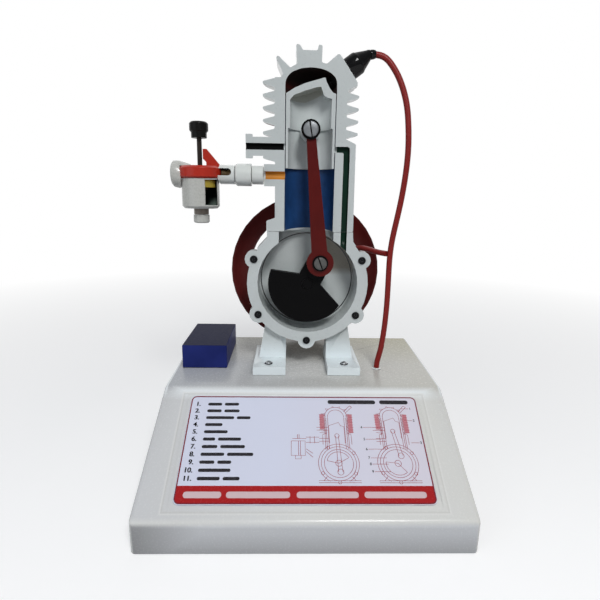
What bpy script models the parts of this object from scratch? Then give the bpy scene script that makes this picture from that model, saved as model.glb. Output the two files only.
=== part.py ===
"""Sectioned two-stroke engine model on a sloping classroom stand.

The stand is a moulded shell with a bottom board. The engine is cut through the cylinder's axis: its flat
section faces the front, and the half-round castings lie behind it. The flywheel turns the crank, which
lifts the half piston through the connecting rod. Units are metres, +Z is up, the front is -Y, and the
origin is the centre of the stand's underside.
"""

import math

import bmesh
import bpy
from mathutils import Matrix, Vector

# Clearances and overruns
GAP = 0.0003  # between faces that touch or seat
RUNNING = 0.0004  # between a moving face and a fixed one
OVERRUN = 0.002  # how far a cutter passes the face that it cuts
BURY = 0.001  # how far a joined solid reaches into its neighbour

# Stand
STAND_WIDTH = 0.200
STAND_DEPTH = 0.200
STAND_HEIGHT = 0.0683
SKIRT_HEIGHT = 0.0195
TOP_SIDE_INSET = 0.00275  # from the side of the skirt in to the side of the top
TOP_FRONT_INSET = 0.0795  # from the front of the skirt back to the front edge of the top
TOP_BACK_INSET = 0.010
STAND_WALL = 0.003
STAND_ROUND = 0.003
BOARD_THICKNESS = 0.004
POST_SIDE = 0.015
POST_HEIGHT = 0.014
BOARD_SCREW_HEAD_RADIUS = 0.0035
BOARD_SCREW_HEAD_HEIGHT = 0.0018
BOARD_SCREW_RADIUS = 0.0016
BOARD_SCREW_LENGTH = 0.012

# Label on the slope
LABEL_WIDTH = 0.1538
LABEL_LENGTH = 0.0717
LABEL_THICKNESS = 0.0012
LABEL_CORNER = 0.003
LABEL_PLACE_share = 0.5085  # of the way up the slope
RECESS_MARGIN = 0.0028
RECESS_DEPTH = 0.0006

# Battery box on the top of the stand
BOX_INSET = 0.0079  # left face, from the stand's left side
BOX_FRONT_Y = 0.0096
BOX_WIDTH = 0.0339
BOX_LENGTH = 0.0592
BOX_HEIGHT = 0.0183
BOX_WALL = 0.0014
CELL_RADIUS = 0.00725
CELL_LENGTH = 0.0492
CELL_NUB_RADIUS = 0.00275
CELL_NUB_LENGTH = 0.0013

# Place of the engine: its cut plane, its cylinder axis and its crank axis
ENGINE_X = 0.0024
SECTION_Y = 0.0113
CRANK_RISE = 0.0663  # crank axis over the stand's top

# Crank train
THROW = 0.0188
CRANK_ANGLE = math.radians(27.5)  # at rest, clockwise from straight up
ROD_LENGTH = 0.0913
ROD_THICKNESS = 0.0052
ROD_TOP_HALF_WIDTH = 0.0032
ROD_FOOT_HALF_WIDTH = 0.0057
SMALL_END_RADIUS = 0.0062
BIG_END_RADIUS = 0.0098
ROD_FRONT_SPACE = 0.0006  # from the rod's back face to the cut plane
WEB_RADIUS = 0.0293
WEB_FRONT = 0.0010  # behind the cut plane
WEB_THICKNESS = 0.005
WEB_HALF_ANGLE = math.radians(83)
WEB_HEEL = 0.007  # where the two flanks meet, on the pin's side of the axis
PIN_BOSS_RADIUS = 0.0088
SHAFT_RADIUS = 0.004
COLLAR_RADIUS = 0.0072
CRANK_PIN_RADIUS = 0.0042
CRANK_SCREW_RADIUS = 0.0049
CRANK_WASHER_RADIUS = 0.0058
SCREW_HEAD_HEIGHT = 0.0018
WASHER_THICKNESS = 0.0009
SLOT_WIDTH = 0.0009
SLOT_DEPTH = 0.0008

# Piston
PISTON_RADIUS = 0.0169
PISTON_HEAD_WALL = 0.0027
PISTON_SKIRT_WALL = 0.0015
SKIRT_DROP = 0.0250  # skirt's lower edge, under the wrist pin
EDGE_RISE = 0.0236  # crown's edge, over the wrist pin
DEFLECTOR_RISE = 0.0102  # deflector's peak, over the crown's edge
LEDGE_RISE = 0.0014
CROWN_SPACE = 0.0008  # left over the crown at top dead centre
WRIST_PIN_RADIUS = 0.0040
WRIST_BOSS_RADIUS = 0.0068
WRIST_BOSS_SPACE = 0.005  # from the cut plane to the boss's face
WRIST_SCREW_RADIUS = 0.0054
WRIST_SCREW_SHANK_RADIUS = 0.0018
WRIST_SCREW_LENGTH = 0.008
WRIST_WASHER_RADIUS = 0.0066

# Crankcase
CHAMBER_RADIUS = 0.0371
CASE_RADIUS = 0.0412
FLANGE_RADIUS = 0.0448
FLANGE_THICKNESS = 0.007
CASE_DEPTH = 0.024
NECK_WALL = 0.004  # behind the neck's hollow
NECK_LEFT = 0.0215
NECK_RIGHT = 0.0182
NECK_LEFT_OUTER = 0.0300
NECK_RIGHT_OUTER = 0.0322
NECK_LIP_share = 0.7  # of a lug's radius, down the left side from the joint
NECK_SHOULDER_shares = ((0.36, 1.2), (-0.72, 1.62))  # x and z from the upper lugs, of a lug's radius
LUG_CIRCLE_RADIUS = 0.0436
LUG_RADIUS = 0.0066
LUG_STEP = math.radians(57.3)
CASE_SCREW_RADIUS = 0.0028
CASE_SCREW_SHANK_RADIUS = 0.0016
CASE_SCREW_LENGTH = 0.0055
FOOT_INNER = 0.0156
FOOT_OUTER = 0.0399
FOOT_FRONT = 0.015  # in front of the cut plane
FOOT_BACK = 0.034
FOOT_THICKNESS = 0.0063
FOOT_WEB_OUTER = 0.0376
FOOT_WEB_TOP_OUTER = 0.0305
FOOT_WEB_TOP_DROP = 0.026  # under the crank axis
FOOT_SCREW_X = 0.0285
FOOT_SCREW_FRONT = 0.0078
FOOT_SCREW_BACK = 0.029
FOOT_SCREW_RADIUS = 0.0031
FOOT_SCREW_SHANK_RADIUS = 0.0016
FOOT_SCREW_LENGTH = 0.014
FOOT_SCREW_DOME = 0.0016
COVER_THICKNESS = 0.004
BOSS_RADIUS = 0.012
BOSS_LENGTH = 0.022
BUSH_WALL = 0.002

# Cylinder
JOINT_Z = 0.0384  # joint of crankcase and cylinder, over the crank axis
BORE_RADIUS = 0.0175
BARREL_RADIUS = 0.0243
SPRING_Z = 0.1360  # foot of the combustion dome, over the crank axis
DOME_RISE = 0.0114
DOME_POWER = 0.8  # of the cosine that shapes the dome, 1 for an ellipse
FIN_TIP_RADIUS = 0.0327
FIN_ROOT_RADIUS = 0.0246
FIN_PITCH = 0.0080
FIN_FIRST_Z = 0.0896
FIN_COUNT = 7
FIN_ROOT_HALF = 0.0029
FIN_TIP_HALF = 0.0008
LOWER_FLANGE_RADIUS = 0.0304
LOWER_FLANGE_HEIGHT = 0.0072
LOWER_FLANGE_CHAMFER = 0.0022
BARREL_TOP_Z = 0.1410
HEAD_HEIGHT = 0.0254  # crown of the head, over the dome's foot
HEAD_DEPTH = 0.024
TRANSFER_X = 0.0234  # inner side of the passage
TRANSFER_WIDTH = 0.0044
TRANSFER_TOP_Z = 0.0974
TRANSFER_PORT_HEIGHT = 0.0040
TRANSFER_DEPTH = 0.0034
TRANSFER_BLOCK_DEPTH = 0.016
TRANSFER_BLOCK_TOP_Z = 0.1024
TRANSFER_BLOCK_CHAMFER = 0.0032
EXHAUST_Z = 0.0967
EXHAUST_RADIUS = 0.0063
EXHAUST_FLANGE_RADIUS = 0.0081
EXHAUST_FLANGE_THICKNESS = 0.0048
EXHAUST_END_X = 0.0446
EXHAUST_PORT_RADIUS = 0.0022
INLET_Z = 0.0775
INLET_RADIUS = 0.0075
INLET_END_X = 0.0320
INLET_PORT_RADIUS = 0.0027

# Spark plug, square to the head's sloping seat
PLUG_Y = 0.008  # behind the cut plane
PLUG_THREAD_RADIUS = 0.0042
PLUG_REACH = 0.004  # how far the electrode passes into the dome
PLUG_NECK_RADIUS = 0.0034
PLUG_NECK_LENGTH = 0.009
PLUG_TIP_RADIUS = 0.0012
BOOT_RADIUS = 0.0075
BOOT_TIP_RADIUS = 0.0032  # of its round tip
BOOT_LENGTH = 0.0205
BOOT_COLLAR_share = 0.35
BOOT_SHOULDER_share = 0.51
BOOT_SHOULDER_RADIUS = 0.0060

# Carburettor, about its own upright axis
CARB_X = 0.0764  # left of the cylinder axis
PIPE_RADIUS = 0.0064
PIPE_BORE_RADIUS = 0.0046
PIPE_LENGTH = 0.0078
NUT_RADIUS = 0.0077
NUT_LENGTH = 0.0114
VENTURI_RADIUS = 0.0066
SLOT_LOW = 0.0008  # under the pipe's axis
SLOT_HIGH = 0.0040
SLOT_START = 0.0143
SLOT_END = 0.0222
NOZZLE_THROAT_RADIUS = 0.0020
NOZZLE_LENGTH = 0.0065
HORN_RADIUS = 0.0089
HORN_LIP = 0.0045
HORN_TAPER = 0.0080  # from the lip back over the cap
HORN_REACH = 0.0190
HORN_ROUND = 0.0012
CAP_RADIUS = 0.0140
CAP_TOP = 0.0059  # over the pipe's axis
CAP_HEIGHT = 0.0087
CAP_EDGE_RADIUS = 0.0122
CAP_EDGE_DROP = 0.0020
GUSSET_THICKNESS = 0.003
GUSSET_HEIGHT = 0.0109
GUSSET_START = 0.0024
GUSSET_TOP = 0.0050
GUSSET_END = 0.0142
GUSSET_RELIEF = 0.0022
BOWL_RADIUS = 0.0130
BOWL_HEIGHT = 0.0202
BOWL_WALL = 0.0015
BOWL_ROUND = 0.0016
WINDOW_START = 0.0050  # right of the carburettor's axis
WINDOW_END = 0.0123
WINDOW_SILL = 0.0024
FLOAT_RADIUS = 0.0104
FLOAT_HOLE_RADIUS = 0.0040
FLOAT_TOP_DROP = 0.0009  # under the bowl's rim
FLOAT_HEIGHT = 0.0050
JET_RADIUS = 0.0024
JET_COLLAR_RADIUS = 0.0052
JET_COLLAR_HEIGHT = 0.0010
JET_BORE_RADIUS = 0.0015
DRAIN_NECK_RADIUS = 0.0052
DRAIN_NECK_LENGTH = 0.0038
DRAIN_CAP_RADIUS = 0.0056
DRAIN_CAP_LENGTH = 0.0058
STEM_RADIUS = 0.0017
NEEDLE_RADIUS = 0.0009
NEEDLE_TIP_DROP = 0.0088  # under the pipe's axis
KNOB_BASE = 0.0238  # over the pipe's axis
KNOB_HEIGHT = 0.0106
KNOB_RADIUS = 0.0064
KNOB_FOOT_RADIUS = 0.0053
KNOB_FOOT_HEIGHT = 0.0036
KNOB_ROUND = 0.0012

# Flywheel and contact breaker
RIM_RADIUS = 0.0635
RIM_INNER_RADIUS = 0.0478
RIM_WIDTH = 0.013
RIM_LIP = 0.0022
RIM_DISH = 0.004
RIM_FRONT = 0.060  # behind the cut plane
HUB_RADIUS = 0.0105
HUB_LENGTH = 0.014
SPOKE_COUNT = 3
SPOKE_WIDTH = 0.009
SPOKE_THICKNESS = 0.005
FLY_WASHER_RADIUS = 0.0078
FLY_NUT_RADIUS = 0.0068
FLY_NUT_LENGTH = 0.0048
CAM_RADIUS = 0.0062
CAM_LOBE_RADIUS = 0.0030
CAM_LIFT = 0.0048
CAM_LENGTH = 0.004
CONTACT_X = 0.0160
CONTACT_WIDTH = 0.008
CONTACT_HEIGHT = 0.012
CONTACT_LENGTH = 0.026
BLADE_THICKNESS = 0.0006
BLADE_WIDTH = 0.0034

# Red lead
LEAD_RADIUS = 0.0021
GROMMET_RADIUS = 0.0036
GROMMET_RISE = 0.0009
GROMMET_STEM_RADIUS = 0.0028

# Facets
ROUND_SIDES = 40
MEDIUM_SIDES = 24
SMALL_SIDES = 16
SCREW_SIDES = 12

# Worked out from the sizes above
CRANK_Z = STAND_HEIGHT + CRANK_RISE
CRANK_PIN_X = THROW * math.sin(CRANK_ANGLE)
CRANK_PIN_Z = THROW * math.cos(CRANK_ANGLE)
WRIST_Z = CRANK_PIN_Z + math.sqrt(ROD_LENGTH**2 - CRANK_PIN_X**2)
PISTON_LIFT = ROD_LENGTH + THROW - WRIST_Z  # from rest to top dead centre
ROD_TILT = math.asin(CRANK_PIN_X / ROD_LENGTH)
ROD_BACK_Y = -ROD_FRONT_SPACE
ROD_FRONT_Y = ROD_BACK_Y - ROD_THICKNESS
CASE_END_Y = CASE_DEPTH + GAP + COVER_THICKNESS
BOSS_END_Y = CASE_END_Y + BOSS_LENGTH
CAM_START_Y = BOSS_END_Y + RUNNING
CYLINDER_Z = JOINT_Z + GAP

# The head's outline in the cut plane: x as a share of the fins' tip radius, z of the head's height
HEAD_OUTLINE_shares = (
    (-0.75, -0.45), (-0.75, 0.175), (-0.625, 0.205), (-0.58, 0.27), (-0.727, 0.66), (-0.715, 0.70),
    (-0.675, 0.71), (-0.437, 0.435), (-0.30, 0.53), (-0.323, 0.97), (-0.30, 1.0), (-0.245, 0.985),
    (-0.18, 0.86), (0.11, 0.86), (0.135, 0.985), (0.165, 1.0), (0.215, 0.97), (0.207, 0.575),
    (0.31, 0.545), (0.535, 0.785), (0.585, 0.765), (0.93, 0.155), (0.955, 0.09), (0.93, 0.01),
    (0.77, -0.085), (0.75, -0.45),
)
SEAT_TOP_share = HEAD_OUTLINE_shares[20]
SEAT_FOOT_share = HEAD_OUTLINE_shares[21]
SEAT_CORNER_share = HEAD_OUTLINE_shares[22]
# The crown's and the hollow's outlines: x as a share of the radius, z of the deflector's rise
CROWN_shares = (
    (-1.0, 0.0), (-0.65, 0.35), (-0.25, 0.63), (0.14, 0.82), (0.50, 0.99), (0.55, 0.99), (0.62, 0.70),
    (0.745, 0.34), (0.87, 0.10), (1.0, 0.0),
)
HOLLOW_shares = (
    (-1.0, -0.38), (-0.82, -0.10), (-0.30, 0.17), (0.22, 0.39), (0.47, 0.45), (0.62, -0.10),
    (0.80, -0.24), (1.0, -0.28),
)

# The lead's route in the engine's frame, from beside the boot's tip to the stand's top
LEAD_LEAVES = math.radians(6)  # above level, where it leaves the boot
LEAD_ROUTE = (
    (0.0492, 0.0073, 0.1573), (0.0535, 0.0065, 0.1533), (0.0582, 0.0058, 0.1468), (0.0610, 0.0052, 0.1415),
    (0.0635, 0.0046, 0.1355), (0.0655, 0.0040, 0.1290), (0.0669, 0.0033, 0.1222), (0.0681, 0.0024, 0.1110),
    (0.0687, 0.0016, 0.0990), (0.0684, 0.0009, 0.0870), (0.0674, 0.0006, 0.0745), (0.0657, 0.0004, 0.0610),
    (0.0635, 0.0004, 0.0475), (0.0613, 0.0004, 0.0345), (0.0602, 0.0004, 0.0225), (0.0601, 0.0004, 0.0090),
    (0.0602, 0.0004, -0.0050), (0.0600, 0.0004, -0.0200), (0.0590, 0.0004, -0.0370), (0.0572, 0.0004, -0.0520),
)
LEAD_FOOT_X = 0.0550
LEAD_FOOT_Y = 0.0004
# The branch's route, from the lead to the contact block
BRANCH_ROUTE = (
    (0.0579, 0.0018, 0.0232), (0.0562, 0.0042, 0.0232), (0.0534, 0.0090, 0.0232), (0.0500, 0.0150, 0.0236),
    (0.0466, 0.0207, 0.0243), (0.0431, 0.0262, 0.0247), (0.0402, 0.0312, 0.0238), (0.0388, 0.0360, 0.0210),
    (0.0386, 0.0400, 0.0140), (0.0372, 0.0416, 0.0060), (0.0335, 0.0416, 0.0006),
)

PARTS = None
TOOLS = None


def clear_scene():
    for obj in list(bpy.data.objects):
        bpy.data.objects.remove(obj, do_unlink=True)


def new_collection(name):
    collection = bpy.data.collections.new(name)
    bpy.context.scene.collection.children.link(collection)
    return collection


def material(name, colour, roughness, metallic=0.0):
    """A Principled material of one colour."""
    made = bpy.data.materials.new(name)
    made.use_nodes = True
    shader = made.node_tree.nodes["Principled BSDF"]
    shader.inputs["Base Color"].default_value = (*colour, 1.0)
    shader.inputs["Roughness"].default_value = roughness
    shader.inputs["Metallic"].default_value = metallic
    made.diffuse_color = (*colour, 1.0)
    return made


def make_materials():
    return {
        "cream_moulding": material("cream_moulding", (0.80, 0.77, 0.69), 0.35),
        "board": material("board", (0.30, 0.22, 0.14), 0.7),
        "label": material("label", (0.82, 0.80, 0.86), 0.3),
        "dark_blue": material("dark_blue", (0.01, 0.03, 0.16), 0.45),
        "white_casting": material("white_casting", (0.72, 0.74, 0.70), 0.4),
        "dark_red": material("dark_red", (0.28, 0.012, 0.012), 0.35),
        "bright_red": material("bright_red", (0.60, 0.03, 0.015), 0.3),
        "maroon": material("maroon", (0.12, 0.008, 0.010), 0.4),
        "black": material("black", (0.01, 0.01, 0.012), 0.4),
        "steel": material("steel", (0.55, 0.55, 0.55), 0.3, 1.0),
        "brass": material("brass", (0.55, 0.38, 0.12), 0.35, 1.0),
        "yellow": material("yellow", (0.62, 0.55, 0.10), 0.4),
        "white_plastic": material("white_plastic", (0.75, 0.76, 0.72), 0.3),
        "red_lead": material("red_lead", (0.32, 0.02, 0.012), 0.45),
    }


def empty(name, parent=None, location=(0, 0, 0), rotation=(0, 0, 0)):
    made = bpy.data.objects.new(name, None)
    made.parent = parent
    made.location = location
    made.rotation_euler = rotation
    PARTS.objects.link(made)
    return made


def place(name, mesh, parent, look=None, location=(0, 0, 0), rotation=(0, 0, 0)):
    """A part when it has a material, or else a cutter that the model doesn't show."""
    made = bpy.data.objects.new(name, mesh)
    made.parent = parent
    made.location = location
    made.rotation_euler = rotation
    if look is None:
        TOOLS.objects.link(made)
        made.hide_render = True
        made.display_type = "WIRE"
    else:
        PARTS.objects.link(made)
        mesh.materials.append(look)
    return made


def finish(bm, name):
    mesh = bpy.data.meshes.new(name)
    bmesh.ops.recalc_face_normals(bm, faces=bm.faces)
    bm.to_mesh(mesh)
    bm.free()
    mesh.shade_smooth()
    mesh.set_sharp_from_angle(angle=math.radians(35))
    return mesh


def box_mesh(name, low, high):
    bm = bmesh.new()
    bmesh.ops.create_cube(bm, size=1)
    low, high = Vector(low), Vector(high)
    bmesh.ops.scale(bm, vec=high - low, verts=bm.verts)
    bmesh.ops.translate(bm, vec=(low + high) / 2, verts=bm.verts)
    return finish(bm, name)


def bar_mesh(name, radius, start, end, sides, end_radius=None):
    """A round bar or a cone between two points."""
    start, end = Vector(start), Vector(end)
    along = end - start
    turn = along.to_track_quat("Z", "Y").to_matrix().to_4x4()
    bm = bmesh.new()
    bmesh.ops.create_cone(
        bm, cap_ends=True, segments=sides, radius1=radius,
        radius2=radius if end_radius is None else end_radius,
        depth=along.length, matrix=Matrix.Translation((start + end) / 2) @ turn,
    )
    return finish(bm, name)


def plate_mesh(name, loops, front, back):
    """Flat outlines in X and Z, filled between them and thick from front to back along Y."""
    curve = bpy.data.curves.new(name, "CURVE")
    curve.dimensions = "2D"
    curve.fill_mode = "BOTH"
    curve.extrude = (back - front) / 2
    for loop in loops:
        spline = curve.splines.new("POLY")
        spline.points.add(len(loop) - 1)
        spline.use_cyclic_u = True
        for point, (x, z) in zip(spline.points, loop):
            point.co = (x, z, 0, 1)
    guide = bpy.data.objects.new(name, curve)
    bpy.context.scene.collection.objects.link(guide)
    bpy.context.view_layer.update()
    mesh = bpy.data.meshes.new_from_object(guide.evaluated_get(bpy.context.evaluated_depsgraph_get()))
    bpy.data.objects.remove(guide, do_unlink=True)
    bm = bmesh.new()
    bm.from_mesh(mesh)
    bpy.data.meshes.remove(mesh)
    bmesh.ops.remove_doubles(bm, verts=bm.verts, dist=1e-6)
    upright = Matrix.Translation((0, (front + back) / 2, 0)) @ Matrix.Rotation(math.radians(90), 4, "X")
    bmesh.ops.transform(bm, matrix=upright, verts=bm.verts)
    return finish(bm, name)


AXIS_TURNS = {"z": (0, 0, 0), "x": (0, math.radians(90), 0), "y": (-math.radians(90), 0, 0)}


def turned(name, profile, parent, look=None, axis="z", location=(0, 0, 0), sides=MEDIUM_SIDES, closed=False):
    """A profile of (radius, height) from the top down its outer side, turned about an axis.

    A closed profile makes a ring or a tube.
    """
    mesh = bpy.data.meshes.new(name)
    count = len(profile)
    links = [(i, i + 1) for i in range(count - 1)] + ([(count - 1, 0)] if closed else [])
    mesh.from_pydata([(radius, 0, height) for radius, height in profile], links, [])
    made = place(name, mesh, parent, look, location, AXIS_TURNS[axis])
    screw = made.modifiers.new("turn", "SCREW")
    screw.steps = sides
    screw.render_steps = sides
    screw.use_merge_vertices = True
    screw.merge_threshold = 1e-5
    screw.use_smooth_shade = True
    return made


def tube(name, outer, inner, start, end, parent, look, axis="z", location=(0, 0, 0), sides=MEDIUM_SIDES):
    profile = [(outer, end), (outer, start), (inner, start), (inner, end)]
    return turned(name, profile, parent, look, axis, location, sides, closed=True)


def boolean(made, tool, operation):
    modifier = made.modifiers.new(f"{operation.lower()}_{tool.name}", "BOOLEAN")
    modifier.operation = operation
    modifier.object = tool
    modifier.solver = "EXACT"


def cut(made, *tools):
    for tool in tools:
        boolean(made, tool, "DIFFERENCE")


def join(made, *tools):
    for tool in tools:
        boolean(made, tool, "UNION")


def use_manifold(made):
    """The solver for a body whose joined solids share the planes of their faces."""
    for modifier in made.modifiers:
        if modifier.type == "BOOLEAN":
            modifier.solver = "MANIFOLD"


def round_edges(made, width, segments=2, angle=math.radians(40)):
    bevel = made.modifiers.new("round", "BEVEL")
    bevel.width = width
    bevel.segments = segments
    bevel.limit_method = "ANGLE"
    bevel.angle_limit = angle


def arc(centre, radius, start, end, steps):
    """Points along an arc in X and Z, its ends included."""
    turns = [start + (end - start) * i / steps for i in range(steps + 1)]
    return [(centre[0] + radius * math.cos(t), centre[1] + radius * math.sin(t)) for t in turns]


def stand_shell(look):
    """The moulding: an upright skirt, a sloping front and a level top, open below."""
    bm = bmesh.new()
    bmesh.ops.create_cube(bm, size=1)
    bmesh.ops.scale(bm, vec=(STAND_WIDTH, STAND_DEPTH, SKIRT_HEIGHT), verts=bm.verts)
    bmesh.ops.translate(bm, vec=(0, 0, SKIRT_HEIGHT / 2), verts=bm.verts)
    skirt_top = [face for face in bm.faces if face.normal.z > 0.5]
    underside = [face for face in bm.faces if face.normal.z < -0.5]
    raised = bmesh.ops.extrude_face_region(bm, geom=skirt_top)["geom"]
    for vert in (item for item in raised if isinstance(item, bmesh.types.BMVert)):
        front = vert.co.y < 0
        vert.co.x = math.copysign(STAND_WIDTH / 2 - TOP_SIDE_INSET, vert.co.x)
        vert.co.y = TOP_FRONT_INSET - STAND_DEPTH / 2 if front else STAND_DEPTH / 2 - TOP_BACK_INSET
        vert.co.z = STAND_HEIGHT
    spent = [face for face in skirt_top + underside if face.is_valid]
    bmesh.ops.delete(bm, geom=spent, context="FACES_ONLY")
    shell = place("stand_shell", finish(bm, "stand_shell"), None, look)
    round_edges(shell, STAND_ROUND, segments=3)
    wall = shell.modifiers.new("wall", "SOLIDIFY")
    wall.thickness = STAND_WALL
    wall.offset = -1
    wall.use_even_offset = True
    return shell


def corner_places(inset):
    """The four corners of the stand, inset from its outer faces."""
    x, y = STAND_WIDTH / 2 - inset, STAND_DEPTH / 2 - inset
    return ((-x, -y), (x, -y), (x, y), (-x, y))


def slope_frame():
    """An empty at the label's middle, with X across the slope, Y up it and Z square to it."""
    rise = STAND_HEIGHT - SKIRT_HEIGHT
    angle = math.atan2(rise, TOP_FRONT_INSET)
    y = -STAND_DEPTH / 2 + TOP_FRONT_INSET * LABEL_PLACE_share
    z = SKIRT_HEIGHT + rise * LABEL_PLACE_share
    return empty("slope", None, (0, y, z), (angle, 0, 0))


def foot_screw_places():
    """(x, y) of the engine's four holding screws, in the engine's frame."""
    return [(side * FOOT_SCREW_X, y) for side in (-1, 1) for y in (-FOOT_SCREW_FRONT, FOOT_SCREW_BACK)]


def stand(looks, engine):
    shell = stand_shell(looks["cream_moulding"])
    board_top = BOARD_THICKNESS
    inner = STAND_WALL + GAP
    post_middle = STAND_WALL - BURY + POST_SIDE / 2
    for number, (x, y) in enumerate(corner_places(post_middle), 1):
        half = POST_SIDE / 2
        low, high = (x - half, y - half, board_top + GAP), (x + half, y + half, board_top + GAP + POST_HEIGHT)
        join(shell, place(f"post_{number}", box_mesh(f"post_{number}", low, high), None))
    x, y = STAND_WIDTH / 2 - inner, STAND_DEPTH / 2 - inner
    board = box_mesh("stand_board", (-x, -y, 0), (x, y, board_top))
    board = place("stand_board", board, None, looks["board"])
    for number, (x, y) in enumerate(corner_places(post_middle + STAND_WALL / 2), 1):
        head = GAP + BOARD_SCREW_HEAD_HEIGHT
        profile = [
            (0, head + BOARD_SCREW_LENGTH), (BOARD_SCREW_RADIUS, head + BOARD_SCREW_LENGTH),
            (BOARD_SCREW_RADIUS, head), (BOARD_SCREW_HEAD_RADIUS, GAP), (0, GAP),
        ]
        name = f"board_screw_{number}"
        turned(name, profile, None, looks["steel"], location=(x, y, 0), sides=SCREW_SIDES)
        shank = BOARD_SCREW_RADIUS + GAP
        rise = head + BOARD_SCREW_LENGTH + GAP
        hole = bar_mesh(f"{name}_hole", shank, (x, y, -OVERRUN), (x, y, rise), SCREW_SIDES)
        sink_radius = BOARD_SCREW_HEAD_RADIUS + 2 * GAP
        sink = bar_mesh(f"{name}_sink", sink_radius, (x, y, -OVERRUN), (x, y, head + GAP), SCREW_SIDES)
        hole, sink = place(f"{name}_hole", hole, None), place(f"{name}_sink", sink, None)
        cut(board, hole, sink)
        cut(shell, hole)
    slope = slope_frame()
    wide, long = LABEL_WIDTH / 2 + RECESS_MARGIN, LABEL_LENGTH / 2 + RECESS_MARGIN
    recess = box_mesh("label_recess", (-wide, -long, -RECESS_DEPTH), (wide, long, OVERRUN))
    recess = place("label_recess", recess, slope)
    cut(shell, recess)
    low = (-LABEL_WIDTH / 2, -LABEL_LENGTH / 2, GAP - RECESS_DEPTH)
    high = (LABEL_WIDTH / 2, LABEL_LENGTH / 2, GAP - RECESS_DEPTH + LABEL_THICKNESS)
    label = place("label_panel", box_mesh("label_panel", low, high), slope, looks["label"])
    corners = label.modifiers.new("corners", "BEVEL")
    corners.width = LABEL_CORNER
    corners.segments = 3
    corners.limit_method = "WEIGHT"
    weights = label.data.attributes.new("bevel_weight_edge", "FLOAT", "EDGE")
    for edge in label.data.edges:
        ends = [label.data.vertices[i].co for i in edge.vertices]
        weights.data[edge.index].value = float(abs(ends[0].z - ends[1].z) > GAP)
    top = -CRANK_RISE
    above, below = top + OVERRUN, top - STAND_WALL - OVERRUN
    for number, (x, y) in enumerate(foot_screw_places(), 1):
        name = f"foot_screw_{number}_stand_hole"
        hole = bar_mesh(name, FOOT_SCREW_SHANK_RADIUS + GAP, (x, y, above), (x, y, below), SCREW_SIDES)
        cut(shell, place(name, hole, engine))
    x, y = LEAD_FOOT_X, LEAD_FOOT_Y
    hole = bar_mesh("grommet_hole", GROMMET_STEM_RADIUS + GAP, (x, y, above), (x, y, below), SMALL_SIDES)
    cut(shell, place("grommet_hole", hole, engine))
    profile = [
        (0, GROMMET_RISE), (GROMMET_STEM_RADIUS, GROMMET_RISE), (GROMMET_RADIUS, GAP),
        (GROMMET_STEM_RADIUS, GAP), (GROMMET_STEM_RADIUS, -STAND_WALL), (0, -STAND_WALL),
    ]
    turned("lead_grommet", profile, engine, looks["black"], location=(x, y, top), sides=SMALL_SIDES)
    use_manifold(shell)


def battery_box(looks):
    """A five-sided case over two cells that lie on the stand's top."""
    middle = BOX_INSET + BOX_WIDTH / 2 - STAND_WIDTH / 2
    frame = empty("battery", None, (middle, BOX_FRONT_Y + BOX_LENGTH / 2, STAND_HEIGHT))
    x, y = BOX_WIDTH / 2, BOX_LENGTH / 2
    case = box_mesh("battery_case", (-x, -y, GAP), (x, y, BOX_HEIGHT))
    case = place("battery_case", case, frame, looks["dark_blue"])
    low = (BOX_WALL - x, BOX_WALL - y, -OVERRUN)
    hollow = box_mesh("case_hollow", low, (x - BOX_WALL, y - BOX_WALL, BOX_HEIGHT - BOX_WALL))
    cut(case, place("case_hollow", hollow, frame))
    for number, side in enumerate((-1, 1), 1):
        half = CELL_LENGTH / 2
        profile = [
            (0, half + CELL_NUB_LENGTH), (CELL_NUB_RADIUS, half + CELL_NUB_LENGTH), (CELL_NUB_RADIUS, half),
            (CELL_RADIUS, half), (CELL_RADIUS, -half), (0, -half),
        ]
        spot = (side * (CELL_RADIUS + GAP / 2), 0, CELL_RADIUS + GAP)
        cell = turned(f"battery_cell_{number}", profile, frame, looks["steel"], "y", spot, SMALL_SIDES)
        cell.rotation_euler[0] *= side


def lug_places():
    """(x, z) of the five screws round the crankcase, the first at the bottom."""
    turns = [-math.pi / 2 + LUG_STEP * step for step in (0, 1, 2, -1, -2)]
    return [(LUG_CIRCLE_RADIUS * math.cos(t), LUG_CIRCLE_RADIUS * math.sin(t)) for t in turns]


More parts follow.
